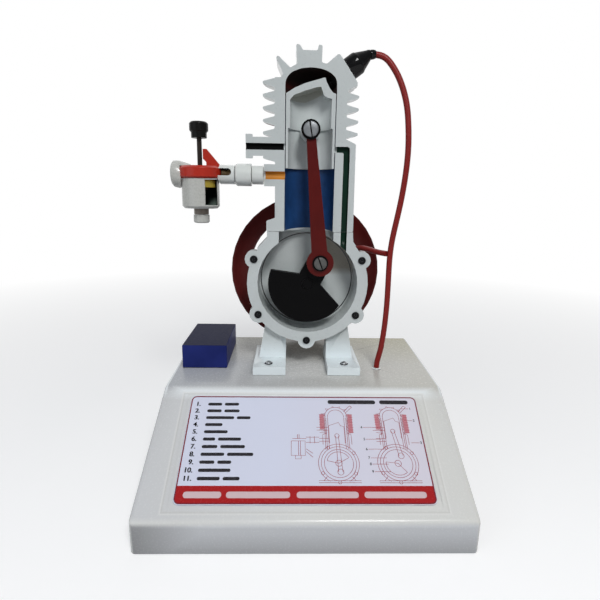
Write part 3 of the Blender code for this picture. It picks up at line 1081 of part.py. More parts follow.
def carburettor(looks, engine):
    """Pipe, nut, venturi, horn, cap, bowl, float, jet and drain about the inlet's axis."""
    frame = empty("carburettor_axis", engine, (-CARB_X, 0, INLET_Z))
    white = looks["white_plastic"]
    clear = CAP_RADIUS + GAP
    keep_out = bar_mesh("cap_room", clear, (0, 0, -BOWL_HEIGHT), (0, 0, BOWL_HEIGHT), ROUND_SIDES)
    keep_out = place("cap_room", keep_out, frame)
    pipe_end = CARB_X - INLET_END_X - GAP
    nut_end = pipe_end - PIPE_LENGTH - GAP
    venturi_end = nut_end - NUT_LENGTH - GAP
    tube("inlet_pipe", PIPE_RADIUS, PIPE_BORE_RADIUS, nut_end + GAP, pipe_end, frame, white, "x")
    chamfer = NUT_RADIUS - VENTURI_RADIUS
    nut_start = nut_end - NUT_LENGTH
    profile = [
        (NUT_RADIUS, nut_end), (NUT_RADIUS, nut_start + chamfer), (VENTURI_RADIUS, nut_start),
        (PIPE_BORE_RADIUS, nut_start), (PIPE_BORE_RADIUS, nut_end),
    ]
    turned("union_nut", profile, frame, white, "x", closed=True)
    venturi = tube("venturi_tube", VENTURI_RADIUS, PIPE_BORE_RADIUS, 0, venturi_end, frame, white, "x")
    middle = (SLOT_HIGH - SLOT_LOW) / 2
    half = (SLOT_HIGH + SLOT_LOW) / 2
    round_end = arc((SLOT_END - half, middle), half, -math.pi / 2, math.pi / 2, 8)
    slot = [(0, middle - half)] + round_end + [(0, middle + half)]
    slot = place("venturi_slot", plate_mesh("venturi_slot", [slot], -2 * VENTURI_RADIUS, 0), frame)
    cut(venturi, keep_out, slot)
    outer = PIPE_BORE_RADIUS - GAP
    start = SLOT_START + NOZZLE_THROAT_RADIUS / 2
    throat = start + NOZZLE_LENGTH / 2
    end = start + NOZZLE_LENGTH
    profile = [
        (outer, end), (NOZZLE_THROAT_RADIUS + BURY, throat), (outer, start),
        (outer - BURY / 2, start), (NOZZLE_THROAT_RADIUS, throat), (outer - BURY / 2, end),
    ]
    turned("venturi_nozzle", profile, frame, looks["brass"], "x", sides=SMALL_SIDES, closed=True)
    lip = HORN_LIP - HORN_REACH
    profile = [
        (VENTURI_RADIUS, lip + HORN_TAPER), (HORN_RADIUS, lip), (HORN_RADIUS, HORN_ROUND - HORN_REACH),
        (HORN_RADIUS - HORN_ROUND, -HORN_REACH), (VENTURI_RADIUS, -HORN_REACH), (PIPE_BORE_RADIUS, lip),
        (PIPE_BORE_RADIUS, lip + HORN_TAPER),
    ]
    under = bar_mesh("horn_room", clear, (0, 0, -BOWL_HEIGHT), (0, 0, CAP_TOP + GAP), ROUND_SIDES)
    cut(turned("air_horn", profile, frame, white, "x", closed=True), place("horn_room", under, frame))

    under_cap = CAP_TOP - CAP_HEIGHT
    hole = STEM_RADIUS + RUNNING
    profile = [
        (CAP_EDGE_RADIUS, CAP_TOP), (CAP_RADIUS, CAP_TOP - CAP_EDGE_DROP),
        (CAP_RADIUS, under_cap + CAP_EDGE_DROP / 2), (BOWL_RADIUS, under_cap), (hole, under_cap),
        (hole, CAP_TOP),
    ]
    cap = turned("carburettor_cap", profile, frame, looks["bright_red"], sides=ROUND_SIDES, closed=True)
    foot = CAP_TOP - CAP_EDGE_DROP - BURY
    gusset = [
        (GUSSET_START + GUSSET_RELIEF, foot), (GUSSET_END, foot), (GUSSET_END, CAP_TOP),
        (GUSSET_TOP, CAP_TOP + GUSSET_HEIGHT), (GUSSET_START, CAP_TOP + GUSSET_HEIGHT),
        (GUSSET_START, CAP_TOP + 2 * GUSSET_RELIEF), (GUSSET_START + GUSSET_RELIEF, CAP_TOP + GUSSET_RELIEF),
    ]
    gusset = plate_mesh("cap_gusset", [gusset], -GUSSET_THICKNESS / 2, GUSSET_THICKNESS / 2)
    gusset = place("cap_gusset", gusset, frame)
    above = CAP_TOP + 2 * GUSSET_HEIGHT
    round_cap = bar_mesh("gusset_round", CAP_RADIUS - GAP, (0, 0, under_cap), (0, 0, above), ROUND_SIDES)
    boolean(gusset, place("gusset_round", round_cap, frame), "INTERSECT")
    join(cap, gusset)

    rim = under_cap - GAP
    floor = rim - BOWL_HEIGHT
    inside = BOWL_RADIUS - BOWL_WALL
    profile = [
        (BOWL_RADIUS, rim), (BOWL_RADIUS, floor + BOWL_ROUND), (BOWL_RADIUS - BOWL_ROUND, floor), (0, floor),
        (0, floor + WINDOW_SILL), (inside, floor + WINDOW_SILL), (inside, rim),
    ]
    bowl = turned("float_bowl", profile, frame, white, sides=ROUND_SIDES, closed=True)
    low = (WINDOW_START, -BOWL_RADIUS - OVERRUN, floor + WINDOW_SILL)
    window = box_mesh("bowl_window", low, (WINDOW_END, -BURY, rim + OVERRUN))
    cut(bowl, place("bowl_window", window, frame))
    float_top = rim - FLOAT_TOP_DROP
    float_foot = float_top - FLOAT_HEIGHT
    tube("carburettor_float", FLOAT_RADIUS, FLOAT_HOLE_RADIUS, float_foot, float_top, frame, looks["yellow"])
    jet_top = float_foot - GAP
    jet_foot = floor + WINDOW_SILL + GAP
    profile = [
        (JET_COLLAR_RADIUS, jet_top), (JET_COLLAR_RADIUS, jet_top - JET_COLLAR_HEIGHT),
        (JET_RADIUS, jet_top - JET_COLLAR_HEIGHT), (JET_RADIUS, jet_foot), (0, jet_foot),
        (0, jet_foot + BURY), (JET_BORE_RADIUS, jet_foot + BURY), (JET_BORE_RADIUS, jet_top),
    ]
    turned("main_jet", profile, frame, looks["brass"], sides=SMALL_SIDES, closed=True)
    neck_top = floor - GAP
    neck_foot = neck_top - DRAIN_NECK_LENGTH
    neck = bar_mesh("drain_neck", DRAIN_NECK_RADIUS, (0, 0, neck_foot), (0, 0, neck_top), MEDIUM_SIDES)
    place("drain_neck", neck, frame, white)
    cap_top = neck_foot - GAP
    cap_foot = cap_top - DRAIN_CAP_LENGTH
    edge = BOWL_ROUND / 2
    profile = [
        (0, cap_top), (DRAIN_CAP_RADIUS, cap_top), (DRAIN_CAP_RADIUS, cap_foot + edge),
        (DRAIN_CAP_RADIUS - edge, cap_foot), (0, cap_foot),
    ]
    turned("drain_cap", profile, frame, white)

    throttle = empty("throttle_slide", frame)
    shoulder = KNOB_BASE + KNOB_FOOT_HEIGHT
    top = KNOB_BASE + KNOB_HEIGHT
    socket = KNOB_BASE + KNOB_HEIGHT / 2
    grip = STEM_RADIUS + GAP
    profile = [
        (0, top), (KNOB_RADIUS - KNOB_ROUND, top), (KNOB_RADIUS, top - KNOB_ROUND),
        (KNOB_RADIUS, shoulder + KNOB_ROUND), (KNOB_FOOT_RADIUS, shoulder), (KNOB_FOOT_RADIUS, KNOB_BASE),
        (grip, KNOB_BASE), (grip, socket), (0, socket),
    ]
    turned("throttle_knob", profile, throttle, looks["black"])
    profile = [
        (0, socket - GAP), (STEM_RADIUS, socket - GAP), (STEM_RADIUS, 0), (NEEDLE_RADIUS, -STEM_RADIUS),
        (NEEDLE_RADIUS, -NEEDLE_TIP_DROP), (0, -NEEDLE_TIP_DROP - NEEDLE_RADIUS),
    ]
    turned("throttle_stem", profile, throttle, looks["black"], sides=SMALL_SIDES)


def smooth_points(route, spacing):
    """Points about one spacing apart along the smooth curve through a route."""
    knots = [Vector(point) for point in route]
    knots = [2 * knots[0] - knots[1]] + knots + [2 * knots[-1] - knots[-2]]
    points = []
    for a, b, c, d in zip(knots, knots[1:], knots[2:], knots[3:]):
        steps = max(1, round((c - b).length / spacing))
        for step in range(steps):
            t = step / steps
            square, cube = 2 * a - 5 * b + 4 * c - d, 3 * b - a - 3 * c + d
            points.append((2 * b + (c - a) * t + square * t**2 + cube * t**3) / 2)
    return points + [knots[-2]]


def lead_piece(name, route, parent, look):
    points = smooth_points(route, 4 * LEAD_RADIUS)
    curve = bpy.data.curves.new(name, "CURVE")
    curve.dimensions = "3D"
    curve.bevel_depth = LEAD_RADIUS
    curve.bevel_resolution = 2
    curve.use_fill_caps = True
    spline = curve.splines.new("POLY")
    spline.points.add(len(points) - 1)
    for point, place_at in zip(spline.points, points):
        point.co = (*place_at, 1)
    curve.materials.append(look)
    made = bpy.data.objects.new(name, curve)
    made.parent = parent
    PARTS.objects.link(made)
    return made


def leads(looks, engine, plug):
    """The red lead from the boot down into the stand, and its branch to the contact block."""
    seat = Matrix.LocRotScale(plug.location, plug.rotation_euler, None)
    along = Vector((math.cos(LEAD_LEAVES), 0, math.sin(LEAD_LEAVES)))
    start = seat @ Vector((0, 0, BOOT_LENGTH - BOOT_TIP_RADIUS)) + along * (BOOT_TIP_RADIUS + GAP)
    beyond = start + along * LEAD_RADIUS
    foot_z = -CRANK_RISE + GROMMET_RISE + GAP
    foot = (LEAD_FOOT_X, LEAD_FOOT_Y, foot_z)
    above = (LEAD_FOOT_X, LEAD_FOOT_Y, foot_z + 2 * LEAD_RADIUS)
    lead_piece("ignition_lead", (start, beyond, *LEAD_ROUTE, above, foot), engine, looks["red_lead"])
    side = CONTACT_X + CONTACT_WIDTH + GAP
    end_y = CASE_END_Y + GAP + CONTACT_LENGTH / 2
    end = (side, end_y, 0)
    before = (side + 2 * LEAD_RADIUS, end_y, 0)
    lead_piece("branch_lead", (*BRANCH_ROUTE, before, end), engine, looks["red_lead"])


def main():
    global PARTS, TOOLS
    clear_scene()
    PARTS = new_collection("two_stroke_engine_model")
    TOOLS = new_collection("cutters")
    looks = make_materials()
    engine = empty("engine", None, (ENGINE_X, SECTION_Y, CRANK_Z))
    stand(looks, engine)
    battery_box(looks)
    crankcase(looks, engine)
    plug = plug_frame(engine)
    cylinder(looks, engine, plug)
    spark_plug(looks, plug)
    slide = piston(looks, engine)
    connecting_rod(looks, slide)
    crank(looks, engine)
    contact_breaker(looks, engine)
    carburettor(looks, engine)
    leads(looks, engine, plug)


main()
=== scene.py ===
"""Finishes, printed label, small pieces, lamps and camera for the sectioned two-stroke engine model.

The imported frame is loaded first. Each operator dresses one piece or one group of like pieces, and the last
one sets the stage. Units are metres, +Z is up and the front is -Y.
"""

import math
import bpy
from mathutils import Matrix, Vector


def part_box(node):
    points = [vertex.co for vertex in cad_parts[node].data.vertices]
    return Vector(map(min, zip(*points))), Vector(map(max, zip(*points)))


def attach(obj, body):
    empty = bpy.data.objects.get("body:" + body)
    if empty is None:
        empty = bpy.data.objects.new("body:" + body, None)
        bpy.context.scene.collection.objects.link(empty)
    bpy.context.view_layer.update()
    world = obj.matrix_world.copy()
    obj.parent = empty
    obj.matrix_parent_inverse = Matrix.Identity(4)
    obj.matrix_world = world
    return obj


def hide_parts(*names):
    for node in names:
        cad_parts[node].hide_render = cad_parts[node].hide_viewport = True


bl_info = {
    "name": "Sectioned two-stroke engine model",
    "version": (1, 0, 0),
    "blender": (4, 5, 0),
    "location": "View3D > Sidebar > Engine model",
    "description": "Dresses the sectioned engine model on its stand and sets its studio",
    "category": "Object",
}

import bmesh
import bpy
from bpy.props import FloatProperty, FloatVectorProperty, PointerProperty
from mathutils import Matrix, Vector

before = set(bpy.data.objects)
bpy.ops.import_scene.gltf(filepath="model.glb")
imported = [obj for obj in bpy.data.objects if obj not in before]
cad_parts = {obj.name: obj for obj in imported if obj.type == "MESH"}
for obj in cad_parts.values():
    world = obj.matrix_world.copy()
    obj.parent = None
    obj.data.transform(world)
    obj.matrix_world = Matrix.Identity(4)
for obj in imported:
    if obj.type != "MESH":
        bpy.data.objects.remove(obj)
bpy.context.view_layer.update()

# Places that repeat the part's own sizes
GAP = 0.0003
OVERRUN = 0.002
BURY = 0.001
WELD = 3e-5
TOUCH = 0.0001  # how near counts as on a face
ENGINE = Vector((0.0024, 0.0113, 0.1346))
BORE_RADIUS = 0.0175
JOINT_Z = 0.0384
SPRING_Z = 0.1360
DOME_RISE = 0.0114
EXHAUST_Z = 0.0967
EXHAUST_PORT_RADIUS = 0.0022
INLET_Z = 0.0775
INLET_PORT_RADIUS = 0.0027
TRANSFER_X = 0.0234
TRANSFER_WIDTH = 0.0044
TRANSFER_TOP_Z = 0.0974
TRANSFER_DEPTH = 0.0034
CARBURETTOR_X = -0.0764
CAP_TOP = 0.0059
CAP_SWELL = 0.045
CAP_SAG = 0.0005
BOWL_FLOOR_Z = ENGINE.z + INLET_Z + CAP_TOP - 0.0289
WRIST_Z = 0.10756
PISTON_INNER_RADIUS = 0.0150  # just over the hollow's
LEAD_RADIUS = 0.0021
CRANK_RISE = 0.0663
PLUG_SEAT = Vector((0.02477, 0.008, 0.147684))
PLUG_LEAN = 0.94145
BOOT_RADIUS = 0.0075
BOOT_TIP_RADIUS = 0.0032
BOOT_LENGTH = 0.0205
SKIRT_HEIGHT = 0.0195
SLOPE_RISE = 0.0488
SLOPE_RUN = 0.0795
SLOPE_ANGLE = math.atan2(SLOPE_RISE, SLOPE_RUN)
TOP_FRONT_Y = -0.0205
TOP_DEPTH = 0.1105
LABEL_MIDDLE = Vector((0, -0.05957, 0.04431))
LABEL_FACE = 0.0009
LABEL_WIDTH = 0.1538
LABEL_LENGTH = 0.0717
LABEL_FOOT = 0.0012  # added to the label's lower end
PANEL_SIDE = 0.0058  # from the label's side to the border on the slope
PANEL_DROP = 0.0014
PANEL_TOP = 0.0026
TOP_FLARE = 0.0026  # the shell's top is wider at the back
FLARE_START_X = 0.085
BOARD_SCREW_Z = 0.0021


# Node trees

def add_node(tree, kind, inputs=None, **settings):
    """A node with its settings and its inputs, each a value or another node's output."""
    node = tree.nodes.new(kind)
    for name, value in settings.items():
        setattr(node, name, value)
    for name, value in (inputs or {}).items():
        socket = node.inputs[name]
        if isinstance(value, bpy.types.NodeSocket):
            tree.links.new(value, socket)
        else:
            socket.default_value = value
    return node


def math_node(tree, operation, *values, clamp=False):
    """The result of one step of arithmetic."""
    inputs = dict(enumerate(values))
    return add_node(tree, "ShaderNodeMath", inputs, operation=operation, use_clamp=clamp).outputs[0]


def mix_colour(tree, share, first, second):
    """A colour between two. A share of 1 gives the second."""
    node = tree.nodes.new("ShaderNodeMix")
    node.data_type = "RGBA"
    for index, value in ((0, share), (6, first), (7, second)):
        if isinstance(value, bpy.types.NodeSocket):
            tree.links.new(value, node.inputs[index])
        else:
            node.inputs[index].default_value = value if index == 0 else (*value[:3], 1)
    return node.outputs[2]


def ranged(tree, value, low, high, to_low=0.0, to_high=1.0):
    """A value carried from one range over to another, and held within it."""
    inputs = {"Value": value, "From Min": low, "From Max": high, "To Min": to_low, "To Max": to_high}
    return add_node(tree, "ShaderNodeMapRange", inputs).outputs["Result"]


def product(tree, *values):
    """The values multiplied, in their order."""
    total = values[0]
    for value in values[1:]:
        total = math_node(tree, "MULTIPLY", total, value)
    return total


def distance(tree, first, second):
    """How far a point is from an axis, by its two offsets."""
    square = math_node(tree, "ADD", product(tree, first, first), product(tree, second, second))
    return math_node(tree, "SQRT", square)


def rest_place(tree):
    """The place of a point on the piece at rest."""
    return tree.nodes.new("ShaderNodeTexCoord").outputs["Object"]


def object_place(tree):
    """The x, y and z of a point on the piece at rest."""
    return add_node(tree, "ShaderNodeSeparateXYZ", {"Vector": rest_place(tree)}).outputs


def facing(tree, axis):
    """How far the surface faces along an axis, from -1 to 1."""
    normal = tree.nodes.new("ShaderNodeNewGeometry").outputs["Normal"]
    return add_node(tree, "ShaderNodeSeparateXYZ", {"Vector": normal}).outputs[axis]


def noise(tree, place, scale, detail, roughness=0.5):
    """Cloudy values from 0 to 1 over a place."""
    inputs = {"Vector": place, "Scale": scale, "Detail": detail, "Roughness": roughness}
    return add_node(tree, "ShaderNodeTexNoise", inputs).outputs["Fac"]


def new_group(name, inputs, outputs):
    """An empty shader group with named float inputs and outputs."""
    tree = bpy.data.node_groups.new(name, "ShaderNodeTree")
    for label, value in inputs.items():
        socket = tree.interface.new_socket(name=label, in_out="INPUT", socket_type="NodeSocketFloat")
        socket.default_value = value
    for label in outputs:
        tree.interface.new_socket(name=label, in_out="OUTPUT", socket_type="NodeSocketFloat")
    return tree, tree.nodes.new("NodeGroupInput").outputs, tree.nodes.new("NodeGroupOutput").inputs


def edge_wear_group():
    """Where an edge turns sharply, broken up by noise."""
    tree, given, out = new_group("edge_wear", {"Radius": 0.0006, "Amount": 1.0, "Scale": 700.0}, ("Mask",))
    normals = {
        0: add_node(tree, "ShaderNodeBevel", {"Radius": given["Radius"]}, samples=6).outputs["Normal"],
        1: tree.nodes.new("ShaderNodeNewGeometry").outputs["Normal"],
    }
    likeness = add_node(tree, "ShaderNodeVectorMath", normals, operation="DOT_PRODUCT").outputs["Value"]
    broken = ranged(tree, noise(tree, rest_place(tree), given["Scale"], 3.0), 0.34, 0.62)
    mask = product(tree, ranged(tree, likeness, 0.995, 0.86), broken)
    tree.links.new(math_node(tree, "MULTIPLY", mask, given["Amount"], clamp=True), out["Mask"])
    return tree


def mottle_group():
    """Slow and fine unevenness of a coat of paint or of a moulded skin, from 0 to 1."""
    tree, given, out = new_group("mottle", {"Broad scale": 30.0, "Fine scale": 500.0}, ("Broad", "Fine"))
    place = rest_place(tree)
    tree.links.new(ranged(tree, noise(tree, place, given["Broad scale"], 4.0, 0.55), 0.3, 0.7), out["Broad"])
    tree.links.new(ranged(tree, noise(tree, place, given["Fine scale"], 2.0), 0.25, 0.75), out["Fine"])
    return tree


def dust_group():
    """Dust that lies on level faces, thicker in patches."""
    tree, given, out = new_group("dust", {"Amount": 0.2, "Scale": 45.0}, ("Mask",))
    patch = ranged(tree, noise(tree, rest_place(tree), given["Scale"], 6.0, 0.7), 0.35, 0.75, 0.25, 1.0)
    mask = product(tree, ranged(tree, facing(tree, "Z"), 0.55, 1.0), patch)
    tree.links.new(math_node(tree, "MULTIPLY", mask, given["Amount"], clamp=True), out["Mask"])
    return tree


def scratch_group():
    """Fine crossing hairlines, such as wiping leaves on gloss."""
    tree, given, out = new_group("hairlines", {"Scale": 60.0, "Density": 0.5}, ("Mask",))
    place = rest_place(tree)
    total = None
    for turn, stretch in ((0.5, 26.0), (-0.9, 34.0), (1.9, 22.0)):
        mapping = {"Vector": place, "Rotation": (turn, turn / 2, turn), "Scale": (1.0, stretch, 1.0)}
        turned = add_node(tree, "ShaderNodeMapping", mapping).outputs["Vector"]
        line = ranged(tree, noise(tree, turned, given["Scale"], 2.0), 0.66, 0.72)
        total = line if total is None else math_node(tree, "MAXIMUM", total, line)
    tree.links.new(math_node(tree, "MULTIPLY", total, given["Density"], clamp=True), out["Mask"])
    return tree


GROUPS = {}  # the shared shader groups, by name


def use_group(tree, name, inputs=None):
    """The outputs of a shared shader group, with its inputs set."""
    node = tree.nodes.new("ShaderNodeGroup")
    node.node_tree = GROUPS[name]
    for label, value in (inputs or {}).items():
        node.inputs[label].default_value = value
    return node.outputs


ROUGHNESS_SPREAD = 0.08
DUST_COLOUR = (0.42, 0.40, 0.36)
IOR = 1.5


def finish(
    name, colour, roughness, shade=None, metallic=0.0, coat=0.0, coat_roughness=0.1, mottle=0.35,
    broad_scale=30.0, fine_scale=500.0, grain=0.02, wear=0.0, wear_colour=(0.7, 0.7, 0.68),
    wear_radius=0.0006, dust=0.0, hairlines=0.0, tint=None, specular=0.5,
):
    """A Principled material: two tones, uneven gloss, a fine relief, worn edges and dust.

    grain is the relief's depth in millimetres. tint is a function that takes the tree and the colour so far,
    and gives the colour back changed.
    """
    made = bpy.data.materials.new(name)
    made.use_nodes = True
    tree = made.node_tree
    shader = tree.nodes["Principled BSDF"]
    shade = shade or tuple(0.8 * part for part in colour)
    patches = use_group(tree, "mottle", {"Broad scale": broad_scale, "Fine scale": fine_scale})
    base = mix_colour(tree, product(tree, patches["Broad"], mottle), colour, shade)
    if tint:
        base = tint(tree, base)
    half = ROUGHNESS_SPREAD / 2
    rough = ranged(tree, patches["Fine"], 0.0, 1.0, roughness - half, roughness + half)
    for amount, group, inputs, over, rougher in (
            (hairlines, "hairlines", {"Density": hairlines}, None, 0.25),
            (wear, "edge_wear", {"Amount": wear, "Radius": wear_radius}, wear_colour, 0.1),
            (dust, "dust", {"Amount": dust}, DUST_COLOUR, 0.35)):
        if amount:
            mask = use_group(tree, group, inputs)["Mask"]
            if over:
                base = mix_colour(tree, mask, base, over)
            rough = math_node(tree, "ADD", rough, product(tree, mask, rougher), clamp=True)
    tree.links.new(base, shader.inputs["Base Color"])
    tree.links.new(rough, shader.inputs["Roughness"])
    if grain:
        relief = {"Strength": 1.0, "Distance": grain * 0.001, "Height": patches["Fine"]}
        bump = add_node(tree, "ShaderNodeBump", relief)
        tree.links.new(bump.outputs["Normal"], shader.inputs["Normal"])
    for label, value in (("Metallic", metallic), ("Coat Weight", coat), ("Coat Roughness", coat_roughness),
                         ("IOR", IOR), ("Specular IOR Level", specular)):
        shader.inputs[label].default_value = value
    made.diffuse_color = (*colour, 1)
    return made


# Meshes and pieces

def node_bmesh(name, whole_faces=True):
    """A welded copy of a node's mesh, with each flat face whole unless the edges stay sharp."""
    bm = bmesh.new()
    bm.from_mesh(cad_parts[name].data)
    bmesh.ops.remove_doubles(bm, verts=bm.verts, dist=WELD)
    if whole_faces:
        bmesh.ops.dissolve_limit(bm, angle_limit=math.radians(0.4), verts=bm.verts, edges=bm.edges)
    return bm


def add_piece(name, mesh, body, materials, nodes=()):
    """A piece that rides on a body. It stands for the nodes that it replaces."""
    made = bpy.data.objects.new(name, mesh)
    bpy.context.scene.collection.objects.link(made)
    for look in materials:
        mesh.materials.append(look)
    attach(made, body)
    if nodes:
        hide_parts(*nodes)
    return made


def mesh_from(bm, name, sharp_angle=40):
    """A mesh with smooth faces and sharp edges. The bmesh is freed."""
    mesh = bpy.data.meshes.new(name)
    bmesh.ops.recalc_face_normals(bm, faces=bm.faces)
    bm.to_mesh(mesh)
    bm.free()
    mesh.shade_smooth()
    mesh.set_sharp_from_angle(angle=math.radians(sharp_angle))
    return mesh


def add_solid(node, bm, body, looks, sharp_angle=40):
    """A piece of the given shape in place of the node of that name."""
    mesh = mesh_from(bm, node, sharp_angle)
    return add_piece(f"{node}_dressed", mesh, body, [LOOKS[look] for look in looks], (node,))


def round_edges(made, width, segments=2):
    """Rounded edges, and normals that keep the flat faces flat."""
    if width:
        bevel = made.modifiers.new("round", "BEVEL")
        bevel.width = width
        bevel.segments = segments
        bevel.limit_method = "ANGLE"
        bevel.angle_limit = math.radians(32)
        bevel.use_clamp_overlap = True
    weighted = made.modifiers.new("normals", "WEIGHTED_NORMAL")
    weighted.keep_sharp = not width
    weighted.weight = 60


def dress(node, body, looks, slot, width=0.0003, segments=2, paint=None, sharp_angle=40):
    """A node's own shape with rounded edges and smooth round faces, in place of the node."""
    bm = node_bmesh(node, width > 0)
    if paint:
        for face in bm.faces:
            face.material_index = paint(face.calc_center_median() - ENGINE, face.normal)
    made = add_solid(node, bm, body, looks, sharp_angle)
    round_edges(made, width, segments)
    return made


def dress_each(body, rows):
    """Dress nodes of one body. A row holds the node, the finish, the slot and the rounding."""
    for node, look, slot, *rounding in rows:
        dress(node, body, [look], slot, *rounding)


def node_middle(name):
    """The middle of a node's box."""
    low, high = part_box(name)
    return (Vector(low) + Vector(high)) / 2


def turned_bmesh(profile, sides, matrix=None):
    """A profile of (radius, height) from the top down, turned about Z."""
    bm = bmesh.new()
    rings = []
    for radius, height in profile:
        if radius == 0:
            rings.append([bm.verts.new((0, 0, height))])
            continue
        ring = []
        for step in range(sides):
            turn = 2 * math.pi * step / sides
            ring.append(bm.verts.new((radius * math.cos(turn), radius * math.sin(turn), height)))
        rings.append(ring)
    for upper, lower in zip(rings, rings[1:]):
        for step in range(sides):
            after = (step + 1) % sides
            corners = [upper[step % len(upper)], lower[step % len(lower)], lower[after % len(lower)],
                       upper[after % len(upper)]]
            corners = list(dict.fromkeys(corners))
            if len(corners) > 2:
                bm.faces.new(corners)
    if matrix is not None:
        bm.transform(matrix)
    return bm


def box_bmesh(low, high):
    """A box between two corners."""
    bm = bmesh.new()
    bmesh.ops.create_cube(bm, size=1)
    low, high = Vector(low), Vector(high)
    bmesh.ops.scale(bm, vec=high - low, verts=bm.verts)
    bmesh.ops.translate(bm, vec=(low + high) / 2, verts=bm.verts)
    return bm


def merge(*parts):
    """One bmesh out of several."""
    whole = bmesh.new()
    for part in parts:
        spare = bpy.data.meshes.new("spare")
        part.to_mesh(spare)
        part.free()
        whole.from_mesh(spare)
        bpy.data.meshes.remove(spare)
    return whole


def rounded_corners(points, radius, steps=4, closed=True):
    """An outline with its corners rounded as far as their sides allow."""
    count = len(points)
    done = []
    for index, corner in enumerate(points):
        if not closed and index in (0, count - 1):
            done.append(tuple(corner))
            continue
        corner = Vector(corner)
        before, after = Vector(points[index - 1]) - corner, Vector(points[(index + 1) % count]) - corner
        turn = before.angle(after, math.pi)
        if turn > math.radians(172):
            done.append(tuple(corner))
            continue
        reach = min(radius / math.tan(turn / 2), 0.45 * before.length, 0.45 * after.length)
        start, end = corner + before.normalized() * reach, corner + after.normalized() * reach
        for step in range(steps + 1):
            t = step / steps
            done.append(tuple(start * (1 - t) ** 2 + corner * 2 * t * (1 - t) + end * t**2))
    return done


def arc(centre, radius, start, end, steps):
    """Points along an arc, its ends included."""
    turns = [start + (end - start) * i / steps for i in range(steps + 1)]
    return [(centre[0] + radius * math.cos(t), centre[1] + radius * math.sin(t)) for t in turns]


def plate_bmesh(outline, front, back):
    """A flat outline in X and Z, thick from front to back along Y, in the engine's frame."""
    bm = bmesh.new()
    near = [bm.verts.new((x, front, z)) for x, z in outline]
    far = [bm.verts.new((x, back, z)) for x, z in outline]
    bm.faces.new(near)
    bm.faces.new(far[::-1])
    for i, j in zip(range(len(near)), list(range(1, len(near))) + [0]):
        bm.faces.new((near[j], near[i], far[i], far[j]))
    return bm


def bar_bmesh(radius, start, end, sides):
    """A round bar between two points."""
    start, end = Vector(start), Vector(end)
    along = end - start
    bm = bmesh.new()
    bmesh.ops.create_cone(
        bm, cap_ends=True, segments=sides, radius1=radius, radius2=radius, depth=along.length,
        matrix=Matrix.Translation((start + end) / 2) @ along.to_track_quat("Z", "Y").to_matrix().to_4x4())
    return bm


def evaluated_mesh(made):
    """The mesh that an object comes to. The object is removed."""
    bpy.context.view_layer.update()
    mesh = bpy.data.meshes.new_from_object(made.evaluated_get(bpy.context.evaluated_depsgraph_get()))
    bpy.data.objects.remove(made, do_unlink=True)
    return mesh


def combined(bm, steps, solver="MANIFOLD"):
    """A solid after a list of steps, each an operation's name and a solid."""
    def spare_object(source):
        mesh = bpy.data.meshes.new("spare")
        bmesh.ops.recalc_face_normals(source, faces=source.faces)
        source.to_mesh(mesh)
        source.free()
        made = bpy.data.objects.new("spare", mesh)
        bpy.context.scene.collection.objects.link(made)
        return made
    solid = spare_object(bm)
    tools = [(operation, spare_object(tool)) for operation, tool in steps]
    for operation, tool in tools:
        modifier = solid.modifiers.new("combine", "BOOLEAN")
        modifier.operation = operation
        modifier.object = tool
        modifier.solver = solver
    spent = [solid.data, *(tool.data for _, tool in tools)]
    done = evaluated_mesh(solid)
    for _, tool in tools:
        bpy.data.objects.remove(tool, do_unlink=True)
    for mesh in spent:
        bpy.data.meshes.remove(mesh)
    result = bmesh.new()
    result.from_mesh(done)
    bpy.data.meshes.remove(done)
    return result


def facing_front(x, z, y=0.0, turn=0.0):
    """A frame whose Z points at the front, at a place in the engine's frame."""
    place = Matrix.Translation(ENGINE + Vector((x, y, z)))
    return place @ Matrix.Rotation(math.pi / 2, 4, "X") @ Matrix.Rotation(turn, 4, "Z")


SHANK_RADIUS = 0.0016
SCREW_SIDES = 36


def cross_recess(size, depth, top):
    """Two crossed, tapered blades of a cutter for a cross-head screw."""
    blades = []
    for turn in (0, math.pi / 2):
        blade = box_bmesh((-size, -size * 0.26, top - depth), (size, size * 0.26, top + depth))
        for vert in blade.verts:
            if vert.co.z < top:
                vert.co.x *= 0.45
                vert.co.y *= 0.7
        blade.transform(Matrix.Rotation(turn, 4, "Z"))
        blades.append(blade)
    return blades


def cross_screw(radius, height, shank_length, matrix, dome=0.55):
    """A pan head with a cross recess, and its shank, with Z out of the work."""
    turns = (0.35, 0.75, 1.1, 1.35, math.pi / 2)
    head = [(0, height)] + [(radius * math.sin(t), height * (1 - dome + dome * math.cos(t))) for t in turns]
    profile = head + [(radius, 0), (SHANK_RADIUS, 0), (SHANK_RADIUS, -shank_length), (0, -shank_length)]
    recess = [("DIFFERENCE", blade) for blade in cross_recess(radius * 0.55, height * 0.85, height)]
    bm = combined(turned_bmesh(profile, SCREW_SIDES), recess, "EXACT")
    bm.transform(matrix)
    return bm


